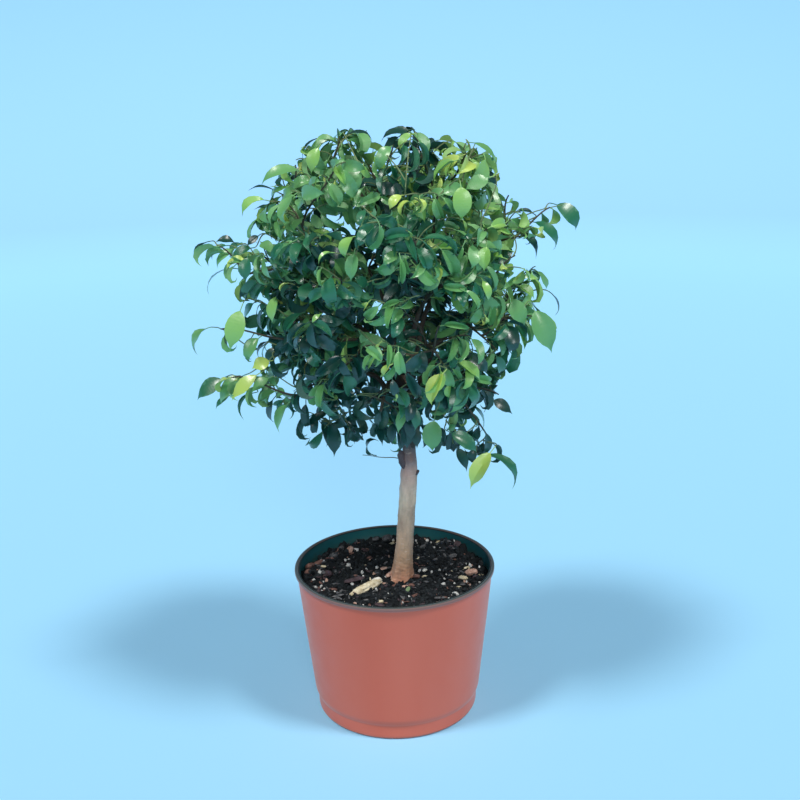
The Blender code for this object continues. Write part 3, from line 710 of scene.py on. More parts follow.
    def build_fibre(self) -> Piece:
        """The fibre, half sunk in the wall."""
        turns, heights = np.radians(np.array(self.fibre)[:, 0]), np.array(self.fibre)[:, 1]
        radii = self.wall_radius(-self.wall, heights)
        path = evened(np.stack([radii * np.sin(turns), -radii * np.cos(turns), heights], axis=1), 14)
        girth = self.fibre_radius * np.sin(np.linspace(0.3, math.pi - 0.3, len(path)))
        finish = Grainy("fibre", (0.1, 0.045, 0.03), (0.18, 0.08, 0.055), 0.7, 400.0, 0.0002)
        return Skin().add_tubes(sweep(path[None], girth[None], 6)).piece(
            "stuck_fibre", "potting_mix", [finish.material()])

    def build(self) -> None:
        """Every piece of it."""
        self.build_wall()
        self.build_lining()
        self.build_fibre()


# ---- potting mix ----
class Wood(Enum):
    """What a larger chip is made of, in the order of the mix's wood finishes."""

    PALE = 0
    RUST = 1
    PURPLE = 2
    GREY = 3
    ROSE = 4
    GREEN = 5
    WHITE = 6


PALE, RUST, PURPLE, GREY, ROSE, GREEN, WHITE = Wood


@dataclass(frozen=True)
class Chip:
    """One larger piece lying on the mix: where it is seen, heading, tilt and size.

    across and down are pixels of the 800 by 800 picture.
    """

    across: float
    down: float
    heading: float
    tilt: float
    length: float
    width: float
    thickness: float
    wood: Wood


@dataclass
class PottingMix:
    """The dark mix: an uneven bed, loose crumbs, white perlite, and chips of wood and bark."""

    pot: Pot
    foot: Array
    flat_radius: float = 0.0165
    wave_height: float = 0.0018
    bank_place: tuple[float, float] = (0.045, 0.062)
    bank_rise: float = 0.0045
    bank_spread: float = 0.045
    mound_rise: float = 0.0022
    mound_spread: float = 0.019
    clod_relief: float = 0.0035
    sides: int = 260
    rings: int = 90
    crumbs: int = 3600
    crumb_size: float = 0.00125
    grains: int = 120
    grain_size: float = 0.0012
    flakes: int = 520
    flake_length: tuple[float, float] = (0.0046, 0.012)     # typical, and the longest
    # The larger pieces: the values of Chip. The first is the long pale splinter in front.
    chips: tuple[tuple, ...] = (
        (366, 589, 33, 9, 0.035, 0.009, 0.0086, PALE), (471, 572, 8, 6, 0.0125, 0.0085, 0.0062, ROSE),
        (480, 572.5, 4, 5, 0.0085, 0.0055, 0.0044, PALE), (466, 569, 30, 8, 0.009, 0.005, 0.0036, PALE),
        (463, 579.5, -38, 8, 0.0105, 0.0046, 0.0036, PALE), (376.5, 583, 24, 4, 0.011, 0.0078, 0.008, WHITE),
        (334, 557, 20, 10, 0.01, 0.007, 0.006, GREY), (341, 548, 40, 10, 0.008, 0.005, 0.005, GREY),
        (327, 573, -15, 8, 0.011, 0.008, 0.006, PURPLE), (310, 568, 20, 8, 0.01, 0.0065, 0.005, RUST),
        (452, 556, 15, 8, 0.012, 0.005, 0.004, GREY), (424, 549, 20, 6, 0.009, 0.005, 0.004, GREY),
        (424.5, 571.5, 30, 6, 0.006, 0.004, 0.004, WHITE), (380, 602, 5, 4, 0.0065, 0.004, 0.003, PALE),
        (345, 599, -35, 8, 0.008, 0.0026, 0.0024, PALE), (416.5, 580, -55, 18, 0.009, 0.0052, 0.004, RUST),
        (403.5, 586, 10, 10, 0.0095, 0.0052, 0.0034, ROSE),
        (411, 584.5, -30, 12, 0.0075, 0.0042, 0.0034, RUST), (394, 578, 62, 20, 0.01, 0.005, 0.004, ROSE),
        (457, 546.5, -20, 7, 0.018, 0.023, 0.0026, PURPLE), (433, 541.5, 10, 6, 0.0065, 0.005, 0.004, ROSE),
        (439.5, 543.5, 6, 5, 0.0075, 0.0036, 0.0026, PALE), (349.5, 552, 68, 22, 0.0125, 0.0066, 0.006, ROSE),
        (386, 534.5, 14, 8, 0.011, 0.008, 0.007, GREY), (375, 538.5, 25, 4, 0.008, 0.005, 0.004, GREY),
        (354, 580.5, 14, 6, 0.021, 0.008, 0.0026, PURPLE), (329, 590, 6, 5, 0.015, 0.007, 0.003, RUST),
        (319, 563, 30, 8, 0.012, 0.006, 0.004, RUST), (323, 568, -30, 8, 0.007, 0.003, 0.0026, PALE),
        (306.5, 574, 70, 8, 0.01, 0.005, 0.003, RUST), (314, 566, 50, 6, 0.009, 0.005, 0.004, GREY),
        (458, 591, 28, 6, 0.017, 0.0046, 0.0024, GREY), (440, 597, -12, 6, 0.012, 0.004, 0.0022, GREY),
        (407.5, 592, 60, 24, 0.008, 0.004, 0.0018, GREEN), (382, 589.5, -20, 6, 0.005, 0.003, 0.0024, RUST),
        (392, 545.5, -52, 22, 0.0085, 0.0032, 0.0024, PALE),
        (389.5, 577.5, 40, 12, 0.0085, 0.005, 0.0034, ROSE), (395, 583, -20, 10, 0.007, 0.0044, 0.003, RUST),
        (417.5, 547, 80, 30, 0.0075, 0.0024, 0.0018, GREY),
    )
    bed: Grainy = Grainy("potting_mix", (0.0006, 0.0022, 0.0036), (0.005, 0.009, 0.0125), 0.92, 300.0, 0.0014)
    crumb_finish: Grainy = Grainy("mix_crumb", (0.0012, 0.003, 0.0044), (0.02, 0.027, 0.032), 0.88, 200.0,
                                  0.001)
    perlite: Grainy = Grainy("perlite", (0.4, 0.41, 0.41), (0.78, 0.78, 0.76), 0.85, 900.0, 0.0006)
    woods: tuple[Grainy, ...] = (
        Grainy("pale_wood", (0.42, 0.34, 0.2), (0.8, 0.74, 0.56), 0.75, 220.0, 0.0006),
        Grainy("rust_wood", (0.06, 0.026, 0.024), (0.23, 0.125, 0.1), 0.75, 240.0, 0.0008),
        Grainy("purple_bark", (0.026, 0.018, 0.022), (0.1, 0.066, 0.078), 0.8, 220.0, 0.0012),
        Grainy("grey_bark", (0.026, 0.032, 0.038), (0.15, 0.15, 0.158), 0.85, 240.0, 0.0012),
        Grainy("rose_wood", (0.3, 0.16, 0.12), (0.62, 0.42, 0.34), 0.78, 260.0, 0.0008),
        Grainy("green_bit", (0.1, 0.17, 0.08), (0.26, 0.36, 0.18), 0.7, 300.0, 0.0004),
        Grainy("bleached_wood", (0.5, 0.48, 0.42), (0.84, 0.82, 0.76), 0.78, 300.0, 0.0006),
    )

    def inset(self) -> float:
        """From the pot's inner wall to the mix."""
        return 2 * CLEARANCE + self.pot.lining

    def level(self, x: Array, y: Array) -> Array:
        """Height of the bed's smooth form: crossed waves and a bank, which die away towards the stem."""
        waves = np.sin(61 * x + 1.3) * np.cos(53 * y + 0.4) + 0.6 * np.sin(118 * x - 83 * y)
        aside = np.hypot(x - self.bank_place[0], y - self.bank_place[1]) / self.bank_spread
        form = self.wave_height * waves + self.bank_rise * np.exp(-aside**2)
        away = np.hypot(x - self.foot[0], y - self.foot[1]) - self.flat_radius
        return MIX_LEVEL - CLEARANCE + form * np.clip(away / 0.04, 0.0, 1.0)

    def surface(self, x: Array, y: Array) -> Array:
        """Height of the bed: its smooth form, a mound round the stem, and three sizes of clods."""
        flat = np.stack([x, y, 0 * x], axis=-1)
        clods = (0.7 - np.abs(rolling(flat, 0.021, 51)) + 0.55 * rolling(flat, 0.0095, 53)
                 + 0.26 * rolling(flat, 0.0042, 52, 40))
        away = np.hypot(x - self.foot[0], y - self.foot[1]) / self.mound_spread
        return self.level(x, y) + self.clod_relief * clods + self.mound_rise * np.exp(-away**4)

    def build_bed(self) -> Piece:
        """The lump that fills the lining: rings from the stem out to the wall, down it, and across."""
        angles = circle(self.sides)
        ring = np.stack([np.cos(angles), np.sin(angles)], axis=1)
        inset = self.inset()
        edge = ring * self.pot.wall_radius(inset, MIX_LEVEL)
        share = (np.arange(self.rings) + 1.0)[:, None, None] / self.rings
        flat = self.foot[:2] + (edge - self.foot[:2]) * share**0.8
        top = np.concatenate([flat, self.surface(flat[..., 0], flat[..., 1])[..., None]], axis=-1)
        top[-1, :, :2] = ring * self.pot.wall_radius(inset, top[-1, :, 2:])
        side = ring_stack(*np.array(self.pot.inner_profile(inset)[2::-1]).T, self.sides)
        return Skin().add_tubes(np.concatenate([top, side])[None, ::-1]).piece(
            "mix_bed", "potting_mix", [self.bed.material()], "potting_mix", sharp=60.0)

    def scattered(self, rng: np.random.Generator, count: int, keep_off: float) -> Array:
        """Places on the bed, spread evenly over its disc and off the stem: (n, 3)."""
        reach = self.pot.wall_radius(self.inset(), MIX_LEVEL) - keep_off
        distance = reach * np.sqrt(rng.uniform(0.0, 1.0, count))
        turn = rng.uniform(0, math.tau, count)
        x, y = distance * np.cos(turn), distance * np.sin(turn)
        from_stem = np.hypot(x - self.foot[0], y - self.foot[1])
        off = from_stem > 0.0095 + keep_off
        return np.stack([x, y, self.surface(x, y)], axis=1)[off]

    def lumps(self, rng: np.random.Generator, middles: Array, sizes: Array, rows: int = 3,
              sides: int = 6) -> Array:
        """Rough pebbles: (n, rows, sides, 3) rings of a ball whose points are pushed in and out.

        A ring is at height cos b and radius sin b, with b from pole to pole, times each size, then
        turned by a random rotation.
        """
        n = len(middles)
        b = math.pi * (np.arange(rows) + 1.0) / (rows + 1)
        dents = rng.uniform(0.72, 1.25, (n, rows, sides, 1))
        ball = ring_stack(np.sin(b), -np.cos(b), sides) * dents * sizes[:, None, None]
        turns, _ = np.linalg.qr(rng.normal(size=(n, 3, 3)))
        turns *= np.sign(np.linalg.det(turns))[:, None, None]
        return middles[:, None, None] + np.einsum("nij,nrsj->nrsi", turns, ball)

    def build_loose(self) -> None:
        """Crumbs, perlite and small flakes."""
        rng = np.random.default_rng(SEED + 60)
        places = self.scattered(rng, self.crumbs, 0.0035)
        spread = np.minimum(np.exp(rng.normal(0.0, 0.5, (len(places), 1))), 1.7)
        sizes = self.crumb_size * spread * rng.uniform(0.6, 1.5, (len(places), 3))
        Skin().add_tubes(self.lumps(rng, places + UP * 0.0003, sizes)).piece(
            "mix_crumbs", "potting_mix", [self.crumb_finish.material()], sharp=25.0)

        places = self.scattered(rng, self.grains, 0.004)
        spread = np.exp(rng.normal(0.0, 0.36, (len(places), 1)))
        sizes = self.grain_size * spread * rng.uniform(0.7, 1.4, (len(places), 3))
        Skin().add_tubes(self.lumps(rng, places + UP * 0.0006, sizes, 5, 9)).piece(
            "perlite_grains", "potting_mix", [self.perlite.material()], sharp=35.0)

        skin = Skin()
        kinds = (*[GREY] * 9, *[PURPLE] * 6, *[RUST] * 3, PALE, ROSE)
        for place in self.scattered(rng, self.flakes, 0.008):
            length = min(self.flake_length[0] * math.exp(rng.normal(0.0, 0.45)), self.flake_length[1])
            wood = kinds[int(rng.integers(len(kinds)))]
            chip = Chip(0.0, 0.0, rng.uniform(0, 360), rng.normal(0, 14), length,
                        length * rng.uniform(0.22, 0.6), rng.uniform(0.001, 0.0026), wood)
            skin.add_tubes(self.chip_rings(chip, place, 4, 7, rng)[None], wood.value)
        skin.piece("bark_flakes", "potting_mix", [wood.material() for wood in self.woods], sharp=35.0)

    def chip_rings(self, chip: Chip, place: Array, rows: int, sides: int,
                   rng: np.random.Generator) -> Array:
        """A chip at a place on the bed, as rings along its length, with ragged ends and grooves.

        A ring is an ellipse of the chip's width and thickness, narrowed towards the ends by
        (1 - |2s - 1|^5), with r = 1 + grooves(a) + roughness(s, a).
        """
        s = np.linspace(0.0, 1.0, rows)[:, None]
        a = circle(sides)[None]
        taper = 0.35 + 0.65 * (1 - np.abs(2 * s - 1) ** 4)
        grooves = 0.07 * np.sin(a * 5 + rng.uniform(0, 6)) + 0.05 * np.sin(a * 9 + rng.uniform(0, 6))
        rough = 1 + grooves + rng.uniform(-0.1, 0.1, (rows, sides))
        ragged = rng.uniform(-0.05, 0.05, (1, sides)) * np.sign(s - 0.5)
        local = np.stack([(s - 0.5 + ragged * (np.abs(2 * s - 1) > 0.9)) * chip.length + 0 * a,
                          np.cos(a) * taper * rough * chip.width / 2,
                          np.sin(a) * taper * rough * chip.thickness / 2], axis=-1)
        turn = Matrix.Rotation(math.radians(chip.heading), 3, "Z") @ Matrix.Rotation(
            -math.radians(chip.tilt), 3, "Y")
        lift = 0.3 * chip.thickness + 0.3 * chip.length * abs(math.sin(math.radians(chip.tilt)))
        return local @ np.array(turn).T + place + UP * lift

    def build_chips(self) -> Piece:
        """The larger chips that lie on top."""
        rng = np.random.default_rng(SEED + 61)
        skin = Skin()
        for chip in (Chip(*row) for row in self.chips):
            place = CAMERA.on_level(chip.across, chip.down, MIX_LEVEL + 0.002)
            reach = self.pot.wall_radius(self.inset(), MIX_LEVEL) - 0.5 * chip.length - 0.001
            place[:2] *= min(1.0, reach / length_of(place[:2]))
            place[2] = self.surface(place[:1], place[1:2])[0]
            skin.add_tubes(self.chip_rings(chip, place, 22, 20, rng)[None], chip.wood.value)
        woods = [bpy.data.materials[wood.name] for wood in self.woods]
        return skin.piece("wood_chips", "potting_mix", woods, sharp=40.0)

    def build(self) -> None:
        """Every piece of the mix."""
        self.build_bed()
        self.build_loose()
        self.build_chips()


# ---- stem ----
@dataclass
class Trunk:
    """The leaning stem from the mix into the head, with root flare, ridges, scars and bark relief."""

    foot: Array = field(default_factory=lambda: np.array((0.0066, -0.0084, MIX_LEVEL)))
    crook: Array = field(default_factory=lambda: np.array((0.0172, -0.008, 0.262)))
    tip: Array = field(default_factory=lambda: np.array((0.015, -0.006, 0.352)))
    radius: float = 0.0083
    head_radius: float = 0.0063
    tip_radius: float = 0.004
    flare: float = 0.0044
    flare_fade: float = 0.015
    ridges: int = 5
    ridge_depth: float = 0.0017
    scars: tuple[tuple[float, float, float], ...] = ((0.119, -8.0, 0.0022), (0.128, 186.0, 0.003))
    scar_height: float = 0.005
    scar_spread: float = 32.0
    sides: int = 120
    rows: int = 300
    corky_marks: int = 90
    sunk: float = 0.005
    # The cut stub on the left, a small one on the right, and the left one's thin twig: (across, down)
    # in pixels of the 800 by 800 picture.
    stubs_seen: tuple[tuple[tuple[float, float], ...], ...] = (
        ((405.0, 469.0), (402.0, 460.0), (400.5, 450.5)), ((414.0, 474.5), (417.2, 472.5), (418.8, 470.0)))
    stub_twig_seen: tuple[tuple[float, float], ...] = (
        (401.0, 458.6), (393.0, 457.4), (385.0, 457.6), (378.0, 457.0), (371.0, 455.6), (362.5, 455.0))
    stub_radii: tuple[float, float] = (0.0037, 0.0016)
    stub_girths: tuple[float, ...] = (0.3, 0.66, 0.86, 0.95, 1.0, 1.03, 1.0, 0.97, 0.98, 0.95, 0.88, 0.74,
                                      0.42)
    stub_forward: float = 0.003
    stub_twig_radius: float = 0.00048
    # In the bands, the reddish foot is the bark's own colour, the pale band round 0.225 m is partly painted
    # light, and the dark bands from 0.266 m up are painted shade under the head.
    finish: Bark = Bark("stem_bark", (0.72, 0.52, 0.38), (0.4, 0.26, 0.19), (0.8, 0.62, 0.48), bands=(
        (0.136, (0.48, 0.17, 0.095)), (0.146, (0.46, 0.225, 0.13)), (0.16, (0.45, 0.28, 0.17)),
        (0.19, (0.76, 0.49, 0.31)), (0.225, (0.985, 0.7, 0.48)), (0.252, (0.7, 0.41, 0.32)),
        (0.266, (0.3, 0.19, 0.165)), (0.28, (0.13, 0.1, 0.09))))
    stub_finish: Bark = Bark("stub_bark", (0.11, 0.078, 0.08), (0.042, 0.032, 0.037), (0.21, 0.155, 0.15))

    def axis(self, heights: Array) -> Array:
        """The stem's centre at each height: share^0.85 of the way to the crook, then eased to the tip."""
        low = np.clip((heights - self.foot[2]) / (self.crook[2] - self.foot[2]), 0.0, 1.0)[..., None]
        high = smooth_step(heights, self.crook[2], self.tip[2])[..., None]
        flat = self.foot + (self.crook - self.foot) * low**0.85 + (self.tip - self.crook) * high
        return np.concatenate([flat[..., :2], np.asarray(heights, float)[..., None]], axis=-1)

    def girth(self, heights: Array) -> Array:
        """Radius without relief: straight lengths between marks, and flare e^(-above / fade)."""
        marks = (self.foot[2], self.crook[2] - 0.012, self.crook[2] + 0.012, self.tip[2])
        plain = np.interp(heights, marks, (self.radius, self.radius, self.head_radius, self.tip_radius))
        return plain + self.flare * np.exp(-np.maximum(heights - self.foot[2], 0.0) / self.flare_fade)

    def ripple(self, heights: Array, angles: Array) -> Array:
        """Root ridges that fade upwards, and the swellings of pruned branches."""
        above = np.maximum(heights - self.foot[2], 0.0)
        relief = self.ridge_depth * np.cos(self.ridges * angles + 0.6) * np.exp(-above / self.flare_fade)
        for height, heading, depth in self.scars:
            turn = (np.degrees(angles) - heading + 180) % 360 - 180
            relief = relief + depth * np.exp(-((turn / self.scar_spread) ** 2)
                                             - ((above - height) / self.scar_height) ** 2)
        return relief

    def bark_relief(self, heights: Array, angles: Array) -> Array:
        """Corky marks that run round the stem, lengthwise furrows, rings near the foot, fine roughness.

        A mark adds depth . e^(-(turn / width)^2 - (rise / height)^2); a furrow is a wave round the
        stem whose phase wanders with height.
        """
        rng = np.random.default_rng(SEED + 70)
        middles = rng.uniform(self.foot[2], self.crook[2] + 0.03, self.corky_marks)
        headings = rng.uniform(0, math.tau, self.corky_marks)
        widths = np.radians(rng.uniform(9.0, 26.0, self.corky_marks))
        tall = rng.uniform(0.00035, 0.00075, self.corky_marks)
        depths = rng.uniform(0.0001, 0.0003, self.corky_marks)
        depths = depths * rng.choice((1.0, 1.0, -0.8), self.corky_marks)
        relief = np.zeros(np.broadcast(heights, angles).shape)
        for middle, heading, width, height, depth in zip(middles, headings, widths, tall, depths):
            rows = np.abs(heights[:, 0] - middle) < 4 * height
            turn = (angles - heading + math.pi) % math.tau - math.pi
            relief[rows] += depth * np.exp(-((turn / width) ** 2) - ((heights[rows] - middle) / height) ** 2)
        wander = 1.4 * np.sin(heights * 61.0) + 0.8 * np.sin(heights * 149.0 + 1.0)
        furrows = np.sin(angles * 17 + wander) + 0.7 * np.sin(angles * 29 - 1.7 * wander)
        foot = np.exp(-(heights - self.foot[2]) / 0.03)
        rings = np.sin(heights * math.tau / 0.0042 + 1.2 * np.sin(angles * 2.0)) * (0.25 + foot)
        return relief + 0.0001 * furrows + 0.00009 * rings

    def build_bark(self) -> Piece:
        """The stem itself, sunk a little in the mix so that its ridges run into it."""
        heights = np.linspace(self.foot[2] - self.sunk, self.tip[2], self.rows)
        angles = circle(self.sides)[None]
        tall = np.broadcast_to(heights[:, None], (self.rows, self.sides))
        radii = self.girth(heights)[:, None] + self.ripple(tall, angles) + self.bark_relief(tall, angles)
        rings = sweep(self.axis(heights)[None], radii[None], self.sides)
        rings += unit(rings - self.axis(heights)[None, :, None]) * (
            0.0001 * rolling(rings, 0.0016, 71, 40) + 0.00022 * rolling(rings, 0.009, 72))[..., None]
        return Skin().add_tubes(rings).piece(
            "stem_bark", "bark", [self.finish.material()], "trunk", sharp=60.0)

    def build_stub(self) -> Piece:
        """The cut stubs beside the stem's top, and the thin twig that still grows from the left one."""
        *stubs, twig = (np.array([CAMERA.seen_at(*spot, self.crook[1] - self.stub_forward) for spot in seen])
                        for seen in (*self.stubs_seen, self.stub_twig_seen))
        skin = Skin()
        for stub, radius in zip(stubs, self.stub_radii):
            path = evened(stub, len(self.stub_girths), 1)
            rings = sweep(path[None], radius * np.array(self.stub_girths)[None], 24)
            rings += unit(rings - path[None, :, None]) * 0.0004 * rolling(rings, 0.003, 74)[..., None]
            skin.add_tubes(rings)
        path = evened(twig, 24, 1)
        girth = np.linspace(self.stub_twig_radius, 0.6 * self.stub_twig_radius, len(path))
        skin.add_tubes(sweep(path[None], girth[None], 6))
        return skin.piece("pruned_stub", "bark", [self.stub_finish.material()], sharp=60.0)


# ---- boughs ----
@dataclass(frozen=True)
class MassPlan:
    """One mass of foliage: its name, direction from the hub, its bough's root height, its reach."""

    name: str
    direction: Array
    root_height: float
    reach: float

    @property
    def is_top(self) -> bool:
        """Whether it carries straight on from the stem's tip."""
        return bool(self.direction[2] == 1.0)

    def arrival(self, lift: float) -> Array:
        """The heading in which its bough ends and its stem begins."""
        return unit(self.direction + lift * UP)


@dataclass
class Boughs:
    """The limbs from the stem to each mass."""

    trunk: Trunk
    rise: float = 0.8
    lift: float = 0.6
    root_radius: float = 0.0029
    tip_radius: float = 0.0022
    collar: float = 0.0014
    collar_fade: float = 0.0045
    plain_rings: int = 5
    sides: int = 14
    rows: int = 26
    stem_reach: float = 0.086
    stem_foot: float = 0.005
    rings_of_masses: tuple[tuple[str, float, float, int, float, float], ...] = (
        ("lower", -37.0, 54.0, 5, 0.278, 0.054),
        ("middle", 6.0, 18.0, 5, 0.305, 0.046),
        ("upper", 44.0, 30.0, 4, 0.33, 0.044),
    )
    top_reach: float = 0.044
    root_step: float = 0.0045
    sides_named: tuple[str, ...] = ("front", "front_right", "right", "back_right", "back", "back_left",
                                    "left", "front_left")
    # The bough bark's dark colours are painted shade: the boughs are darkened where they lie in the head's
    # shade.
    finish: Bark = Bark("bough_bark", (0.07, 0.054, 0.04), (0.036, 0.028, 0.022), (0.13, 0.104, 0.08))

    def plan(self) -> list[MassPlan]:
        """Every mass, from the top one to the upper ring's last."""
        masses = [MassPlan("top", UP, float(self.trunk.tip[2]), self.top_reach)]
        for ring, elevation, first, count, root, reach in self.rings_of_masses:
            for i in range(count):
                heading = first + 360.0 * i / count
                name = f"{ring}_{self.sides_named[round(heading / 45.0) % 8]}"
                height = root + 2 * i % count * self.root_step
                masses.append(MassPlan(name, heading_vector(heading, elevation), height, reach))
        return masses

    def path(self, mass: MassPlan, count: int) -> Array:
        """count points from inside the stem, out and up, to the mass, the last stretch straight."""
        tip = HUB + mass.direction * mass.reach
        if mass.is_top:
            start, leaving = self.trunk.tip + UP * CLEARANCE, UP
        else:
            start = self.trunk.axis(np.array(mass.root_height))
            leaving = unit(mass.direction * LEVEL + self.rise * UP)
        ending = mass.arrival(self.lift)
        pull = length_of(tip - start) * 0.38
        turn = tip - ending * self.stem_foot
        curve = bezier(start, start + leaving * pull, turn - ending * pull, turn, count - 1)
        return np.array((*curve, tip))

    def stem_path(self, mass: MassPlan) -> Array:
        """A mass's own stem: on from the bough's tip, then out into the mass."""
        heading = mass.arrival(self.lift)
        foot = HUB + mass.direction * mass.reach + heading * CLEARANCE
        end = HUB + mass.direction * self.stem_reach
        turn = foot + heading * self.stem_foot
        return np.array((foot, turn, (turn + heading * self.stem_foot + end) / 2, end))

    def limb(self, mass: MassPlan) -> tuple[Array, Array]:
        """The plain bough's path and radii, which leaves and twigs keep off."""
        path = self.path(mass, self.plain_rings)
        return path, np.linspace(self.root_radius, self.tip_radius, self.plain_rings)

    def build(self) -> None:
        """A bark piece for each bough, swollen into a collar where it leaves the stem."""
        finish = self.finish.material()
        for i, mass in enumerate(self.plan()):
            path = evened(self.path(mass, 40), self.rows, 1)
            path = np.array((*path, path[-1] + mass.arrival(self.lift) * 3 * CLEARANCE))
            share = np.linspace(0.0, 1.0, len(path))
            bare = 0.0 if mass.is_top else self.trunk.head_radius
            away = np.maximum(runs_of(path) - bare, 0.0)
            radii = self.root_radius + (self.tip_radius - self.root_radius) * share
            radii = radii + self.collar * np.exp(-away / self.collar_fade)
            rings = sweep(path[None], radii[None], self.sides)
            out = unit(rings - path[None, :, None])
            rings = rings + out * 0.00016 * rolling(rings, 0.0035, 80 + i)[..., None]
            Skin().add_tubes(rings).piece(
                f"bark_{mass.name}", "bough_bark", [finish], f"bough_{mass.name}", sharp=60.0)


def heading_vector(heading: float, elevation: float) -> Array:
    """Unit vector at a heading from the front, turning right, and an elevation, in degrees."""
    h, e = math.radians(heading), math.radians(elevation)
    return np.array((math.sin(h) * math.cos(e), -math.cos(h) * math.cos(e), math.sin(e)))


# ---- where twigs end ----
@dataclass
class HeadForm:
    """The round head: how far its twigs reach in each direction, and where they end."""

    radius: float = 0.124
    top_extra: float = 0.028
    shoulder: float = 0.009
    underside_cut: float = 0.018
    lumps: float = 0.03
    outer_tips: int = 106
    low_bias: float = 0.24
    inner_tips: int = 38
    inner_share: float = 0.72
    bare_cone: float = 0.9
    # Shoots that stand out: (heading from the front, elevation, reach), on the left from high to low,
    # at the top, on the right from high to low, then low down, in front and behind.
    stray_shoots: Spots = (
        (-83, 18, 0.166), (-79, 10, 0.142), (-87, -10, 0.165), (-79, -24, 0.17), (-85, 41, 0.142),
        (-76, 55, 0.15), (-64, 72, 0.155), (83, 58, 0.152), (86, 28, 0.168), (76, 24, 0.138), (88, 8, 0.132),
        (77, -8, 0.136), (73, -42, 0.14), (70, -55, 0.172), (-73, -43, 0.14), (10, 30, 0.14),
        (165, 34, 0.152), (-140, -4, 0.158), (128, -20, 0.156),
    )
    # Places kept free of leaves, where the sky shows: (across, down, radius) in pixels of the 800 by
    # 800 picture. A hollow is only free as far back as its last value, from the pot's middle.
    openings: Spots = (
        (522, 256, 13), (553, 282, 13), (213, 342, 12), (222, 324, 6), (262, 193, 9), (443, 124, 11),
        (236, 366, 8), (538, 300, 6), (494, 430, 13), (243, 210, 14), (384, 126, 7), (313, 213, 9),
        (310, 408, 10), (477, 340, 10), (226, 205, 17), (252, 168, 10), (214, 300, 12), (262, 345, 9),
        (358, 112, 10), (522, 180, 21), (505, 152, 12), (552, 258, 13), (532, 258, 8), (550, 372, 22),
        (527, 420, 20),
    )
    hollows: tuple[tuple[float, ...], ...] = (
        (433, 322, 25, -0.04), (428, 348, 16, -0.04), (376, 408, 18, -0.045),
    )

    def reach(self, directions: Array) -> Array:
        """From the head's centre to the twig tips in each direction: a ball with lumps, cut below."""
        rise = directions[..., 2]
        plain = self.radius + np.where(rise > 0, self.top_extra, self.underside_cut) * rise
        plain = plain + self.shoulder * 4 * rise**2 * (1 - rise**2)
        turn = np.arctan2(directions[..., 1], directions[..., 0])
        swell = np.sin(3 * turn + 1.1) * np.sqrt(np.maximum(1 - rise * rise, 0.0))
        return plain * (1 + self.lumps * (swell + 0.7 * np.sin(5 * turn + 7 * rise)))

    def spread(self, count: int, twist: float) -> Iterator[Array]:
        """Directions along a golden-angle spiral over a sphere, closer together low down."""
        for i in range(count):
            rise = 1 - (2 * i + 1) / count
            rise -= self.low_bias * (1 - rise * rise)
            turn = i * GOLDEN_ANGLE + twist
            flat = math.sqrt(1 - rise * rise)
            yield np.array((flat * math.cos(turn), flat * math.sin(turn), rise))

    def tips(self) -> Array:
        """Every twig tip: the stray shoots, then the outer skin of the head, then its inside."""
        rng = np.random.default_rng(SEED)
        tips = [HEAD_CENTRE + heading_vector(*aim) * reach for *aim, reach in self.stray_shoots]
        for count, share, twist in ((self.outer_tips, 1.0, 0.0), (self.inner_tips, self.inner_share, 1.9)):
            for direction in self.spread(count, twist):
                reach = float(self.reach(direction)) * share * rng.uniform(0.9, 1.02)
                if direction[2] > -self.bare_cone:
                    tips.append(HEAD_CENTRE + direction * reach)
        return np.array(tips)

    def is_open(self, points: Array) -> bool:
        """Whether any of the places is in an opening of the head."""
        holes = np.array([*((*opening, 1.0) for opening in self.openings), *self.hollows])
        seen = CAMERA.pixels(points)[:, None]
        aside = np.hypot(*np.moveaxis(seen - holes[:, :2], -1, 0))
        return bool(((aside < holes[:, 2]) & (points[:, None, 1] < holes[:, 3])).any())

    def overshoot(self, points: Array) -> float:
        """How far the furthest of the points is past the reach of the twig tips."""
        away = points - HEAD_CENTRE
        return float((np.linalg.norm(away, axis=-1) - self.reach(unit(away))).max())


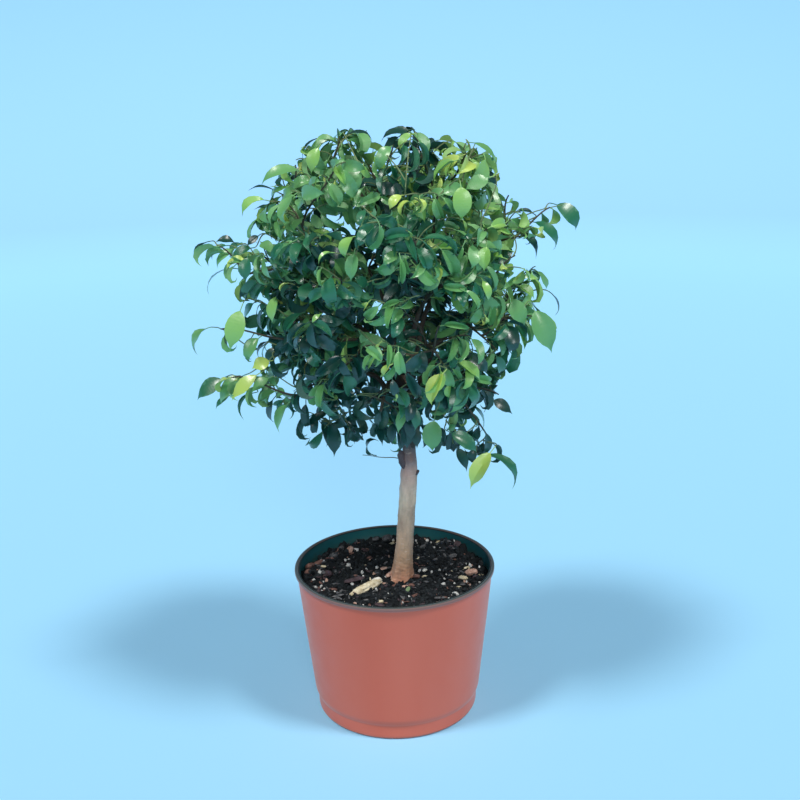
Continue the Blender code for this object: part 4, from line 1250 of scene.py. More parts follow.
# ---- growth ----
@dataclass(frozen=True)
class Habit:
    """How twigs fork and how leaves sit, the sizes that the growth rule is driven by."""

    stem_radius: float = 0.002
    twig_radius: float = 0.0015
    twig_tip_radius: float = 0.0011
    fork_turn: tuple[float, float] = (14.0, 88.0)
    fork_choices: int = 6
    droop: float = 0.35
    leaf_length: float = 0.05
    leaf_width: float = 0.026
    leaf_thickness: float = 0.0017
    leaf_waist: float = 0.52
    leaf_curl: float = 78.0
    leaf_spacing: float = 0.009
    leaf_sink: float = 0.0012
    leaf_bare: float = 0.008
    leaf_swing: float = 35.0
    leaf_hang: tuple[float, float] = (-0.1, 0.6)
    leaf_tries: tuple[float, ...] = (0, 25, -25, 50, -50, 80, -80, 115, -115)
    space_margin: float = 0.0004
    tip_margin: float = 0.005
    limb_margin: float = 0.0012
    curve_rows: int = 10
    leaf_size: tuple[float, float] = (0.82, 1.14)   # least and most, as shares of leaf_length
    leaf_bend: tuple[float, float] = (0.55, 1.35)   # likewise of leaf_curl
    drawn_size: float = 0.68        # true size of a leaf, as a share of the one tested for room
    drawn_width: float = 0.0184     # of a leaf of leaf_length
    drawn_bend: tuple[float, float] = (0.9, 1.7)    # a drawn leaf's curl, as a share of the tested one's
    drawn_twig: tuple[float, float] = (0.0012, 0.0008)
    roll: float = 34.0              # typical turn of a drawn leaf about its own length, in degrees
    shoot_bare: float = 0.006       # bare foot of a twig, below its first side shoot
    shoot_spacing: float = 0.0062
    shoot_length: tuple[float, float] = (0.012, 0.03)
    shoot_rows: int = 8
    shoot_hang: tuple[float, float] = (-0.7, 0.45)
    shoot_swing: float = 60.0
    shoot_leaf_bare: float = 0.005
    shoot_leaf_bend: tuple[float, float] = (0.6, 1.9)
    shoot_leaf_hang: tuple[float, float] = (0.0, 1.5)
    shoot_leaf_swing: float = 40.0
    spray_bare: float = 0.35        # of a spray's reach, without leaves
    lime_share: float = 0.35        # of young leaves; the others are fresh green
    shoot_leaf_spacing: float = 0.0058
    young_share: float = 0.18       # of side shoots, that end in a small curled young leaf
    young_size: tuple[float, float] = (0.26, 0.46)
    young_curl: tuple[float, float] = (110.0, 220.0)
    shoot_space_margin: float = -0.01   # side shoots may cross into the next mass by this much
    shoot_overshoot: float = 0.006
    leaf_overshoot: float = 0.02
    spray_overshoot: float = 0.09
    shoot_leaf_size: tuple[float, float] = (0.42, 0.84)


HABIT = Habit()


@dataclass
class Leaf:
    """Where one leaf grows and how it lies, and the twig or spray that it belongs to.

    play is how far its form may stray from the rule, and broad is its width as a share of the rule's.
    """

    place: Array
    along: Array
    facing: Array
    length: float
    curl: float
    spray: int
    at_end: bool
    tone: Tone | None = None
    play: float = 1.0
    broad: float = 1.0

    def corners(self) -> Array:
        """The plain leaf, as wide as it is drawn, that stands for it in tests for room."""
        return plain_leaf(self.place, self.along, self.facing, self.length, self.curl, HABIT.drawn_width)


@dataclass(frozen=True)
class ShownLeaf:
    """A leaf that stands out from the front: where its blade's root and tip are seen, and how it lies.

    root and tip are (across, down) pixels of the 800 by 800 picture, and back is how far behind the
    pot's middle it hangs. bend is from its stalk's heading to its tip's, and roll is from facing the
    front to facing up, in degrees.
    """

    root: tuple[float, float]
    tip: tuple[float, float]
    back: float
    tone: Tone
    bend: float = 90.0
    roll: float = 45.0
    broad: float = 1.0
    linked: bool = True

    def leaf(self) -> Leaf:
        """The leaf. With half its bend c, its arc is chord . c / sin c, and it leaves c above the chord."""
        root = CAMERA.seen_at(*self.root, self.back)
        chord = CAMERA.seen_at(*self.tip, self.back - 0.004) - root
        way = unit(chord)
        front = np.array(CAMERA.place) - root
        front = unit(front - way * (front @ way))
        over = np.cross(way, front)
        over = over * math.copysign(1.0, over[2])
        roll, c = math.radians(self.roll), math.radians(self.bend) / 2
        out = math.cos(roll) * front + math.sin(roll) * over
        along = math.cos(c) * way + math.sin(c) * out
        length = length_of(chord) * c / math.sin(c) / (1 - LeafShape.stalk)
        return Leaf(root - along * length * LeafShape.stalk, along, math.cos(c) * out - math.sin(c) * way,
                    length, 2 * c, 0, False, self.tone, 0.25, self.broad)


@dataclass
class Fork:
    """A place on a twig that others may leave from. twigs are those that meet there."""

    place: Array
    heading: Array
    run: float
    twigs: set[int]

    def faces(self, tip: Array) -> bool:
        """Whether a twig to the tip would turn by a fit angle from its parent."""
        turn = math.degrees(math.acos(float(np.clip(unit(tip - self.place) @ self.heading, -1.0, 1.0))))
        return HABIT.fork_turn[0] < turn < HABIT.fork_turn[1]

    def cost(self, tip: Array) -> float:
        """Wood to the tip, with the way back to the stem counted for less."""
        return length_of(tip - self.place) + 0.45 * self.run


def plain_tube(path: Array, radius: float, tip_radius: float) -> tuple[Array, Array]:
    """A three-sided twig, (points, triangles and quads), that stands for it in tests for room."""
    rings = sweep(path[None], np.linspace(radius, tip_radius, len(path))[None], 3)
    return rings.reshape(-1, 3), grid_faces(len(path), 3)


PLAIN_LEAF_FACES = np.array(((0, 2, 1), (3, 1, 2), (0, 1, 4), (1, 3, 4), (3, 2, 4), (2, 0, 4)))


def leaf_frame(place: Array, heading: Array, side: float, hang: float, turn: float) -> tuple[Array, Array]:
    """A leaf's heading and its upper face's normal, on one side of a twig, turned about upright."""
    outward = (place - HEAD_CENTRE) * LEVEL / HeadForm.radius
    lateral = unit(np.cross(heading + 0.05 * outward, UP)) * side
    along = unit(0.55 * heading + 0.75 * lateral + 0.3 * outward - hang * UP)
    c, s = math.cos(turn), math.sin(turn)
    along = np.array((c * along[0] - s * along[1], s * along[0] + c * along[1], along[2]))
    facing = outward + 0.75 * UP
    return along, unit(facing - along * (facing @ along))


def plain_leaf(place: Array, along: Array, facing: Array, length: float, curl: float,
               width: float = HABIT.leaf_width) -> Array:
    """Five corners that stand for a leaf in tests for room: root, left, right, tip, keel."""
    across = np.cross(facing, along)
    bent = [math.cos(curl * share) * along - math.sin(curl * share) * facing for share in (0.25, 0.8)]
    waist = place + bent[0] * length * HABIT.leaf_waist
    tip = waist + bent[1] * length * (1 - HABIT.leaf_waist)
    up = math.sin(curl / 2) * along + math.cos(curl / 2) * facing
    half = across * width / 2 * length / HABIT.leaf_length
    return np.array((place, waist + half, waist - half, tip, waist - up * HABIT.leaf_thickness))


def rolled(along: Array, facing: Array, turn: float) -> Array:
    """A leaf's facing turned about its own heading: cos turn . facing + sin turn . along x facing."""
    return math.cos(turn) * facing + math.sin(turn) * np.cross(along, facing)


def leaf_probes(corners: Array) -> Array:
    """Points spread over a plain leaf's upper faces, for the test against limbs."""
    weights = np.array([(a, b, 4 - a - b) for a in range(5) for b in range(5 - a)]) / 4.0
    return np.concatenate([weights @ corners[face] for face in PLAIN_LEAF_FACES[:2]])


def limb_distance(points: Array, limbs: Sequence[tuple[Array, Array]]) -> float:
    """How far the nearest limb's skin is from any of the points."""
    nearest = np.inf
    for path, radii in limbs:
        run = (path[1:] - path[:-1])[:, None]
        offset = points[None] - path[:-1][:, None]
        share = np.clip((offset * run).sum(axis=-1) / (run * run).sum(axis=-1), 0.0, 1.0)
        girth = radii[:-1][:, None] + np.diff(radii)[:, None] * share
        gap = np.linalg.norm(offset - share[..., None] * run, axis=-1) - girth
        nearest = min(nearest, float(gap.min()))
    return nearest


class Mass:
    """A mass as it grows: the space it keeps to, its twigs, its side shoots and its leaves."""

    def __init__(self, plan: MassPlan, planes: Array, limbs: list[tuple[Array, Array]], form: HeadForm,
                 seed: int) -> None:
        """Starts empty. planes are unit normals of the planes through the hub that bound its space."""
        self.plan, self.planes, self.limbs, self.form = plan, planes, limbs, form
        self.rng = np.random.default_rng(seed)
        self.finer_rng = np.random.default_rng(seed + 100)
        self.paths: list[Array] = []
        self.curves: list[Array] = []
        self.shoots: list[tuple[Array, int]] = []
        self.leaves: list[Leaf] = []
        self.shapes: list[BVHTree] = []
        self.boxes = np.empty((0, 6))

    def in_space(self, points: Array, margin: float) -> bool:
        """Whether every point is inside the mass's planes by that margin."""
        return bool(((points - HUB) @ self.planes.T).min() > margin)

    def keep(self, shape: tuple[Array, Array]) -> None:
        """Adds a shape, (points, faces), to those that later ones may not cross."""
        points, faces = shape
        self.shapes.append(BVHTree.FromPolygons(points.tolist(), faces.tolist()))
        self.boxes = np.vstack([self.boxes, [*points.min(axis=0), *points.max(axis=0)]])

    def crosses(self, shape: tuple[Array, Array], joined: set[int]) -> bool:
        """Whether a shape cuts any grown so far, apart from those it is joined to."""
        points, faces = shape
        near = ((self.boxes[:, :3] <= points.max(axis=0)).all(axis=1)
                & (self.boxes[:, 3:] >= points.min(axis=0)).all(axis=1))
        others = [self.shapes[i] for i in np.flatnonzero(near) if i not in joined]
        if not others:
            return False
        tree = BVHTree.FromPolygons(points.tolist(), faces.tolist())
        return any(tree.overlap(other) for other in others)

    def has_room(self, shape: tuple[Array, Array], probes: Array, gap: float, margin: float,
                 joined: set[int]) -> bool:
        """Whether a shape keeps to its space, off the limbs by the gap, and crosses none but those joined."""
        return (self.in_space(shape[0], margin) and limb_distance(probes, self.limbs) > gap
                and not self.crosses(shape, joined))

    def grow(self, tips: Array, stem: Array) -> None:
        """The stem, then twigs to the tips, nearest first, then leaves along every twig."""
        self.paths.append(stem)
        self.curves.append(evened(stem, HABIT.curve_rows))
        self.keep(plain_tube(stem, HABIT.stem_radius, HABIT.twig_radius))
        forks = [Fork(place, self.plan.direction, length_of(place - stem[0]), {0}) for place in stem[1:]]
        for tip in sorted((self.moved_in(tip) for tip in tips), key=lambda tip: length_of(tip - stem[0])):
            self.grow_twig(tip, forks)
        for twig, path in enumerate(self.paths[1:], start=1):
            self.grow_leaves(path, twig)
        self.to_true_size()
        for twig, curve in enumerate(self.curves):
            self.grow_shoots(curve, twig)

    def to_true_size(self) -> None:
        """Leaves, and the shapes that stand for them and for twigs, as large as they are drawn."""
        self.shapes, self.boxes = [], np.empty((0, 6))
        for curve in self.curves:
            self.keep(plain_tube(curve[::3], *HABIT.drawn_twig))
        kept = []
        for leaf in self.leaves:
            leaf.length *= HABIT.drawn_size
            leaf.curl *= self.finer_rng.uniform(*HABIT.drawn_bend)
            leaf.facing = rolled(leaf.along, leaf.facing, math.radians(self.finer_rng.normal(0, HABIT.roll)))
            corners = leaf.corners()
            if not self.form.is_open(corners[1:4]):
                self.keep((corners, PLAIN_LEAF_FACES))
                kept.append(leaf)
        self.leaves = kept

    def moved_in(self, tip: Array) -> Array:
        """A tip moved square to any plane that it is too near."""
        for normal in self.planes:
            short = HABIT.tip_margin - (tip - HUB) @ normal
            tip = tip + normal * max(0.0, float(short))
        return tip

    def twig_curve(self, fork: Fork, tip: Array, count: int) -> Array:
        """From a fork, between its parent's heading and the tip, then bent outwards and down."""
        reach, way = length_of(tip - fork.place), unit(tip - fork.place)
        leaving = unit(fork.heading + 1.5 * way)
        ending = unit(unit(tip - HEAD_CENTRE) + way - HABIT.droop * UP)
        return bezier(fork.place, fork.place + leaving * reach * 0.3, tip - ending * reach * 0.3, tip, count)

    def grow_twig(self, tip: Array, forks: list[Fork]) -> None:
        """A twig to the tip from the first fork that leaves it room. A tip with none is skipped."""
        facing = (fork for fork in forks if fork.faces(tip))
        for fork in sorted(facing, key=lambda fork: fork.cost(tip))[:HABIT.fork_choices]:
            path = self.twig_curve(fork, tip, 3)
            shape = plain_tube(path, HABIT.twig_radius, HABIT.twig_tip_radius)
            if not self.has_room(shape, path[1:], HABIT.twig_radius + HABIT.limb_margin, HABIT.space_margin,
                                 fork.twigs):
                continue
            twig, heading = len(self.shapes), unit(path[2] - path[0])
            fork.twigs.add(twig)
            for place, share in ((path[1], 0.5), ((path[1] + path[2]) / 2, 0.75)):
                forks.append(Fork(place, heading, fork.run + share * length_of(tip - fork.place), {twig}))
            self.paths.append(path)
            self.curves.append(self.twig_curve(fork, tip, HABIT.curve_rows))
            self.keep(shape)
            return

    def grow_leaves(self, path: Array, twig: int) -> None:
        """Leaves set alternately along a twig, with one at its end."""
        runs = runs_of(path)
        side = self.rng.choice((-1.0, 1.0))
        along = np.arange(HABIT.leaf_bare, runs[-1] - 0.4 * HABIT.leaf_spacing, HABIT.leaf_spacing)
        for run in (*along, runs[-1] - HABIT.leaf_sink):
            i = min(int(np.searchsorted(runs, run, side="right")) - 1, len(path) - 2)
            heading = unit(path[i + 1] - path[i])
            length = HABIT.leaf_length * self.rng.uniform(*HABIT.leaf_size)
            curl = math.radians(HABIT.leaf_curl) * self.rng.uniform(*HABIT.leaf_bend)
            hang = self.rng.uniform(*HABIT.leaf_hang)
            swing = self.rng.uniform(-HABIT.leaf_swing, HABIT.leaf_swing)
            place = path[i] + heading * (run - runs[i])
            spot = self.on_curve(self.curves[twig], run / runs[-1])
            self.grow_leaf(place, spot, (heading, side, hang, swing), length, curl, twig,
                           run > runs[-1] - 2 * HABIT.leaf_sink)
            side = -side

    def on_curve(self, curve: Array, share: float) -> Array:
        """The place at a share of a curve's length."""
        runs = runs_of(curve)
        return np.array([np.interp(share * runs[-1], runs, curve[:, axis]) for axis in range(3)])

    def grow_leaf(self, place: Array, spot: Array, aim: tuple[Array, float, float, float], length: float,
                  curl: float, twig: int, at_end: bool) -> None:
        """The first turn of a leaf that has room at its place. It is drawn at spot, on the smooth twig."""
        heading, side, hang, swing = aim
        for turn in HABIT.leaf_tries:
            along, facing = leaf_frame(place, heading, side, hang, math.radians(turn + swing) * side)
            shape = plain_leaf(place, along, facing, length, curl), PLAIN_LEAF_FACES
            if self.has_room(shape, leaf_probes(shape[0]), HABIT.limb_margin, HABIT.space_margin, {twig}):
                self.keep(shape)
                self.leaves.append(Leaf(spot, along, facing, length, curl, twig, at_end))
                return

    def grow_shoots(self, curve: Array, twig: int) -> None:
        """Side shoots set alternately along a twig, each with leaves of its own."""
        rng, runs = self.finer_rng, runs_of(curve)
        side = rng.choice((-1.0, 1.0))
        for run in np.arange(HABIT.shoot_bare, runs[-1], HABIT.shoot_spacing):
            side = -side
            root = self.on_curve(curve, run / runs[-1])
            heading = unit(self.on_curve(curve, min(1.0, run / runs[-1] + 0.05)) - root + 1e-9 * UP)
            length = rng.uniform(*HABIT.shoot_length)
            hang = rng.uniform(*HABIT.shoot_hang)
            swing = math.radians(rng.uniform(-HABIT.shoot_swing, HABIT.shoot_swing))
            way, _ = leaf_frame(root, heading, side, hang, swing)
            tip = root + way * length
            path = bezier(root, root + (heading + way) * length * 0.25,
                          tip - unit(way - HABIT.droop * UP) * length * 0.3, tip, HABIT.shoot_rows)
            roomy = (self.in_space(path, HABIT.shoot_space_margin)
                     and self.form.overshoot(path[-1:]) < HABIT.shoot_overshoot
                     and not self.form.is_open(path[-1:])
                     and limb_distance(path[1:], self.limbs) > HABIT.limb_margin)
            if roomy:
                self.shoots.append((path, twig))
                self.grow_shoot_leaves(path, twig, HABIT.shoot_leaf_bare, HABIT.leaf_overshoot)

    def reach_out(self, tip: Array, ending: Array | None = None) -> tuple[Array, int]:
        """A slender twig's path to a tip from the nearest of this mass's twigs and shoots, and that twig."""
        sources = [(curve[3:], twig) for twig, curve in enumerate(self.curves)]
        sources += [(path[3:], twig) for path, twig in self.shoots]
        places = np.concatenate([points for points, _ in sources])
        owners = np.repeat([twig for _, twig in sources], [len(points) for points, _ in sources])
        outer = np.linalg.norm(places - HEAD_CENTRE, axis=1) > length_of(tip - HEAD_CENTRE) - 0.004
        nearest = int(np.argmin(np.linalg.norm(places - tip, axis=1) + 0.05 * outer))
        root, reach = places[nearest], length_of(tip - places[nearest])
        leaving = unit(unit(root - HUB) + unit(tip - root))
        ending = unit(unit(tip - root) - HABIT.droop * UP) if ending is None else ending
        path = bezier(root, root + leaving * reach * 0.35, tip - ending * reach * 0.3, tip, HABIT.shoot_rows)
        self.shoots.append((path, int(owners[nearest])))
        return path, int(owners[nearest])

    def grow_spray(self, tip: Array) -> None:
        """A slender twig to a tip, with leaves of its own."""
        path, twig = self.reach_out(tip)
        bare = HABIT.spray_bare * length_of(path[-1] - path[0])
        self.grow_shoot_leaves(path, twig, bare, HABIT.spray_overshoot)

    def grow_stem(self, seen: tuple[tuple[float, float, float], ...]) -> None:
        """A green shoot along places seen from the front, listed with the mass's stem."""
        path = evened(np.array([CAMERA.seen_at(*spot) for spot in seen]), HABIT.shoot_rows, 1)
        self.shoots.append((path, 0))

    def grow_shown(self, shown: ShownLeaf) -> None:
        """A leaf that stands out, on a slender twig of its own."""
        leaf = shown.leaf()
        if shown.linked:
            _, leaf.spray = self.reach_out(leaf.place, leaf.along)
        self.keep((leaf.corners(), PLAIN_LEAF_FACES))
        self.leaves.append(leaf)

    def grow_shoot_leaves(self, path: Array, twig: int, bare: float, overshoot: float) -> None:
        """Smaller leaves along a side shoot, each where it crosses no other."""
        rng, runs = self.finer_rng, runs_of(path)
        side = rng.choice((-1.0, 1.0))
        along = np.arange(bare, runs[-1] - 0.003, HABIT.shoot_leaf_spacing)
        for run in (*along, runs[-1]):
            side = -side
            root, end = self.on_curve(path, run / runs[-1]), run == runs[-1]
            heading = unit(path[-1] - path[0])
            young = end and rng.uniform() < HABIT.young_share
            length = HABIT.leaf_length * rng.uniform(*(HABIT.young_size if young else HABIT.shoot_leaf_size))
            bend = (rng.uniform(*HABIT.young_curl) if young
                    else HABIT.leaf_curl * rng.uniform(*HABIT.shoot_leaf_bend))
            curl, roll = math.radians(bend), math.radians(rng.normal(0, HABIT.roll))
            hang = rng.uniform(*HABIT.shoot_leaf_hang)
            swing = rng.uniform(-HABIT.shoot_leaf_swing, HABIT.shoot_leaf_swing)
            tone = (FRESH, LIME)[int(rng.uniform() < HABIT.lime_share)] if young else None
            for turn in HABIT.leaf_tries[:7]:
                along_leaf, facing = leaf_frame(root, heading, side, hang, math.radians(turn + swing) * side)
                facing = rolled(along_leaf, facing, roll)
                corners = plain_leaf(root, along_leaf, facing, length, curl, HABIT.drawn_width)
                shape = corners, PLAIN_LEAF_FACES
                if self.form.overshoot(corners) > overshoot or self.form.is_open(corners[1:4]):
                    continue
                if self.has_room(shape, leaf_probes(corners), HABIT.limb_margin,
                                 HABIT.shoot_space_margin, set()):
                    self.keep(shape)
                    self.leaves.append(Leaf(root, along_leaf, facing, length, curl, twig, end, tone))
                    break


# ---- leaves as they look ----
@dataclass
class LeafShape:
    """A leaf's true form: a thin stalk, a rounded base, an egg-shaped blade and a long drip tip."""

    stalk: float = 0.17            # of the whole length
    stalk_radius: float = 0.00045
    thickness: float = 0.0004
    keel: float = 0.00028
    blade_rows: tuple[float, ...] = (0.04, 0.13, 0.25, 0.39, 0.54, 0.68, 0.8, 0.9)
    columns: tuple[float, ...] = (1.0, 0.52, 0.0, -0.52, -1.0, -0.52, 0.0, 0.52)
    hook: tuple[float, float] = (0.3, 2.5)      # how far the drip tip turns on, in radians
    hook_from: float = 0.62
    sickle: float = 0.06                        # typical sideways bend, as a share of the length
    twist: float = 0.45                         # typical turn of the tip about the midrib, in radians
    width_play: tuple[float, float] = (0.8, 1.12)
    fold: tuple[float, float] = (2.0, 62.0)     # of each half, in degrees
    margin_wave: tuple[float, float] = (0.02, 0.16)

    def half_width(self, share: Array) -> Array:
        """sin(pi s^0.74)^0.85, drawn in past s = 0.58 for the drip tip, as a share of the widest."""
        round_blade = np.sin(math.pi * share**0.74) ** 0.85
        return round_blade * (1 - 0.76 * smooth_step(share, 0.58, 0.93))

    def rings(self, leaves: Sequence[Leaf], rng: np.random.Generator) -> tuple[Array, Array, Array]:
        """Every leaf's rings, from its root to just short of its tip, and its tip.

        The midrib's heading turns by curl . s + hook . step(s) from the stalk's; its places are the
        running sum of those headings. A ring's point at t across is midrib + w t (cos fold . across
        + sin fold |t| . up), and waves lift the margins.
        """
        n = len(leaves)
        place, along, facing = (np.array([getattr(leaf, name) for leaf in leaves])
                                for name in ("place", "along", "facing"))
        length, curl, play, broad = (np.array([getattr(leaf, name) for leaf in leaves])[:, None]
                                     for name in ("length", "curl", "play", "broad"))
        blade = np.array(self.blade_rows)
        s = np.concatenate([[0.0, self.stalk * 0.55, self.stalk * 0.98],
                            self.stalk + (1 - self.stalk) * blade, [1.0]])
        hook = rng.uniform(*self.hook, (n, 1)) * play
        middle = (s[1:] + s[:-1]) / 2
        turn = curl * middle + hook * smooth_step(middle, self.hook_from, 1.0)
        step = np.diff(s) * length
        steps = ((np.cos(turn) * step)[..., None] * along[:, None]
                 - (np.sin(turn) * step)[..., None] * facing[:, None])
        midrib = place[:, None] + np.concatenate([np.zeros((n, 1, 3)), np.cumsum(steps, axis=1)], axis=1)
        across = np.cross(facing, along)
        sickle = rng.normal(0.0, self.sickle, (n, 1)) * play * length * s**2
        midrib = midrib + sickle[..., None] * across[:, None]
        lie = (curl * s + hook * smooth_step(s, self.hook_from, 1.0))[:, :-1, None]
        up = np.sin(lie) * along[:, None] + np.cos(lie) * facing[:, None]
        twist = (rng.normal(0.0, self.twist, (n, 1)) * play * s[:-1])[..., None]
        right = np.cos(twist) * across[:, None] + np.sin(twist) * up
        up = np.cos(twist) * up - np.sin(twist) * across[:, None]

        t = np.array(self.columns)
        sides = len(self.columns)
        round_up, round_across = np.sin(circle(sides)), np.cos(circle(sides))
        half = HABIT.drawn_width / 2 * length / HABIT.leaf_length * broad
        half = half * rng.uniform(*self.width_play, (n, 1))
        wide = half[..., None] * self.half_width(blade)[None, :, None]
        fold = np.radians(rng.uniform(*self.fold, (n, 1, 1))) * np.minimum(1.0, 2.4 * play[..., None])
        phase = rng.uniform(0, math.tau, (n, 1, 1))
        wave = rng.uniform(*self.margin_wave, (n, 1, 1)) * np.sin(
            9.0 * blade[None, :, None] + phase + 1.1 * np.sign(t))
        sideways = wide * t * np.cos(fold)
        lift = wide * (np.abs(t) * np.sin(fold) + t**2 * wave)
        upper = np.array((0, 1, 1, 1, 0, -1, -1, -1)) * (1 - t**2) * self.thickness / 2
        keel = np.where(np.arange(sides) == 6, -self.keel, 0.0) * (1 - blade[:, None])
        lift = lift + upper + keel
        stalk_side, stalk_up = (np.broadcast_to(self.stalk_radius * part, (n, 3, sides))
                                for part in (round_across, round_up))
        sideways = np.concatenate([stalk_side, sideways], axis=1)
        lift = np.concatenate([stalk_up, lift], axis=1)
        rings = (midrib[:, :-1, None] + sideways[..., None] * right[..., None, :]
                 + lift[..., None] * up[..., None, :])
        uv = np.stack(np.broadcast_arrays(s[:-1, None], (1 + t) / 2), axis=-1)
        return rings, midrib[:, -1], np.broadcast_to(uv, (n, *uv.shape))

    def wear(self, leaves: Sequence[Leaf]) -> Array:
        """Which finish each face of each leaf wears: 2 k above and 2 k + 1 below, for tone k."""
        rows = 3 + len(self.blade_rows)
        tones = list(Tone)
        grid = np.broadcast_to(np.array((0, 0, 0, 0, 1, 1, 1, 1)), (rows - 1, 8)).copy()
        grid[:2] = 1
        one = np.concatenate([grid.ravel(), np.ones(8, int), grid[-1]])
        return np.array([tones.index(leaf.tone) for leaf in leaves])[:, None] * 2 + one


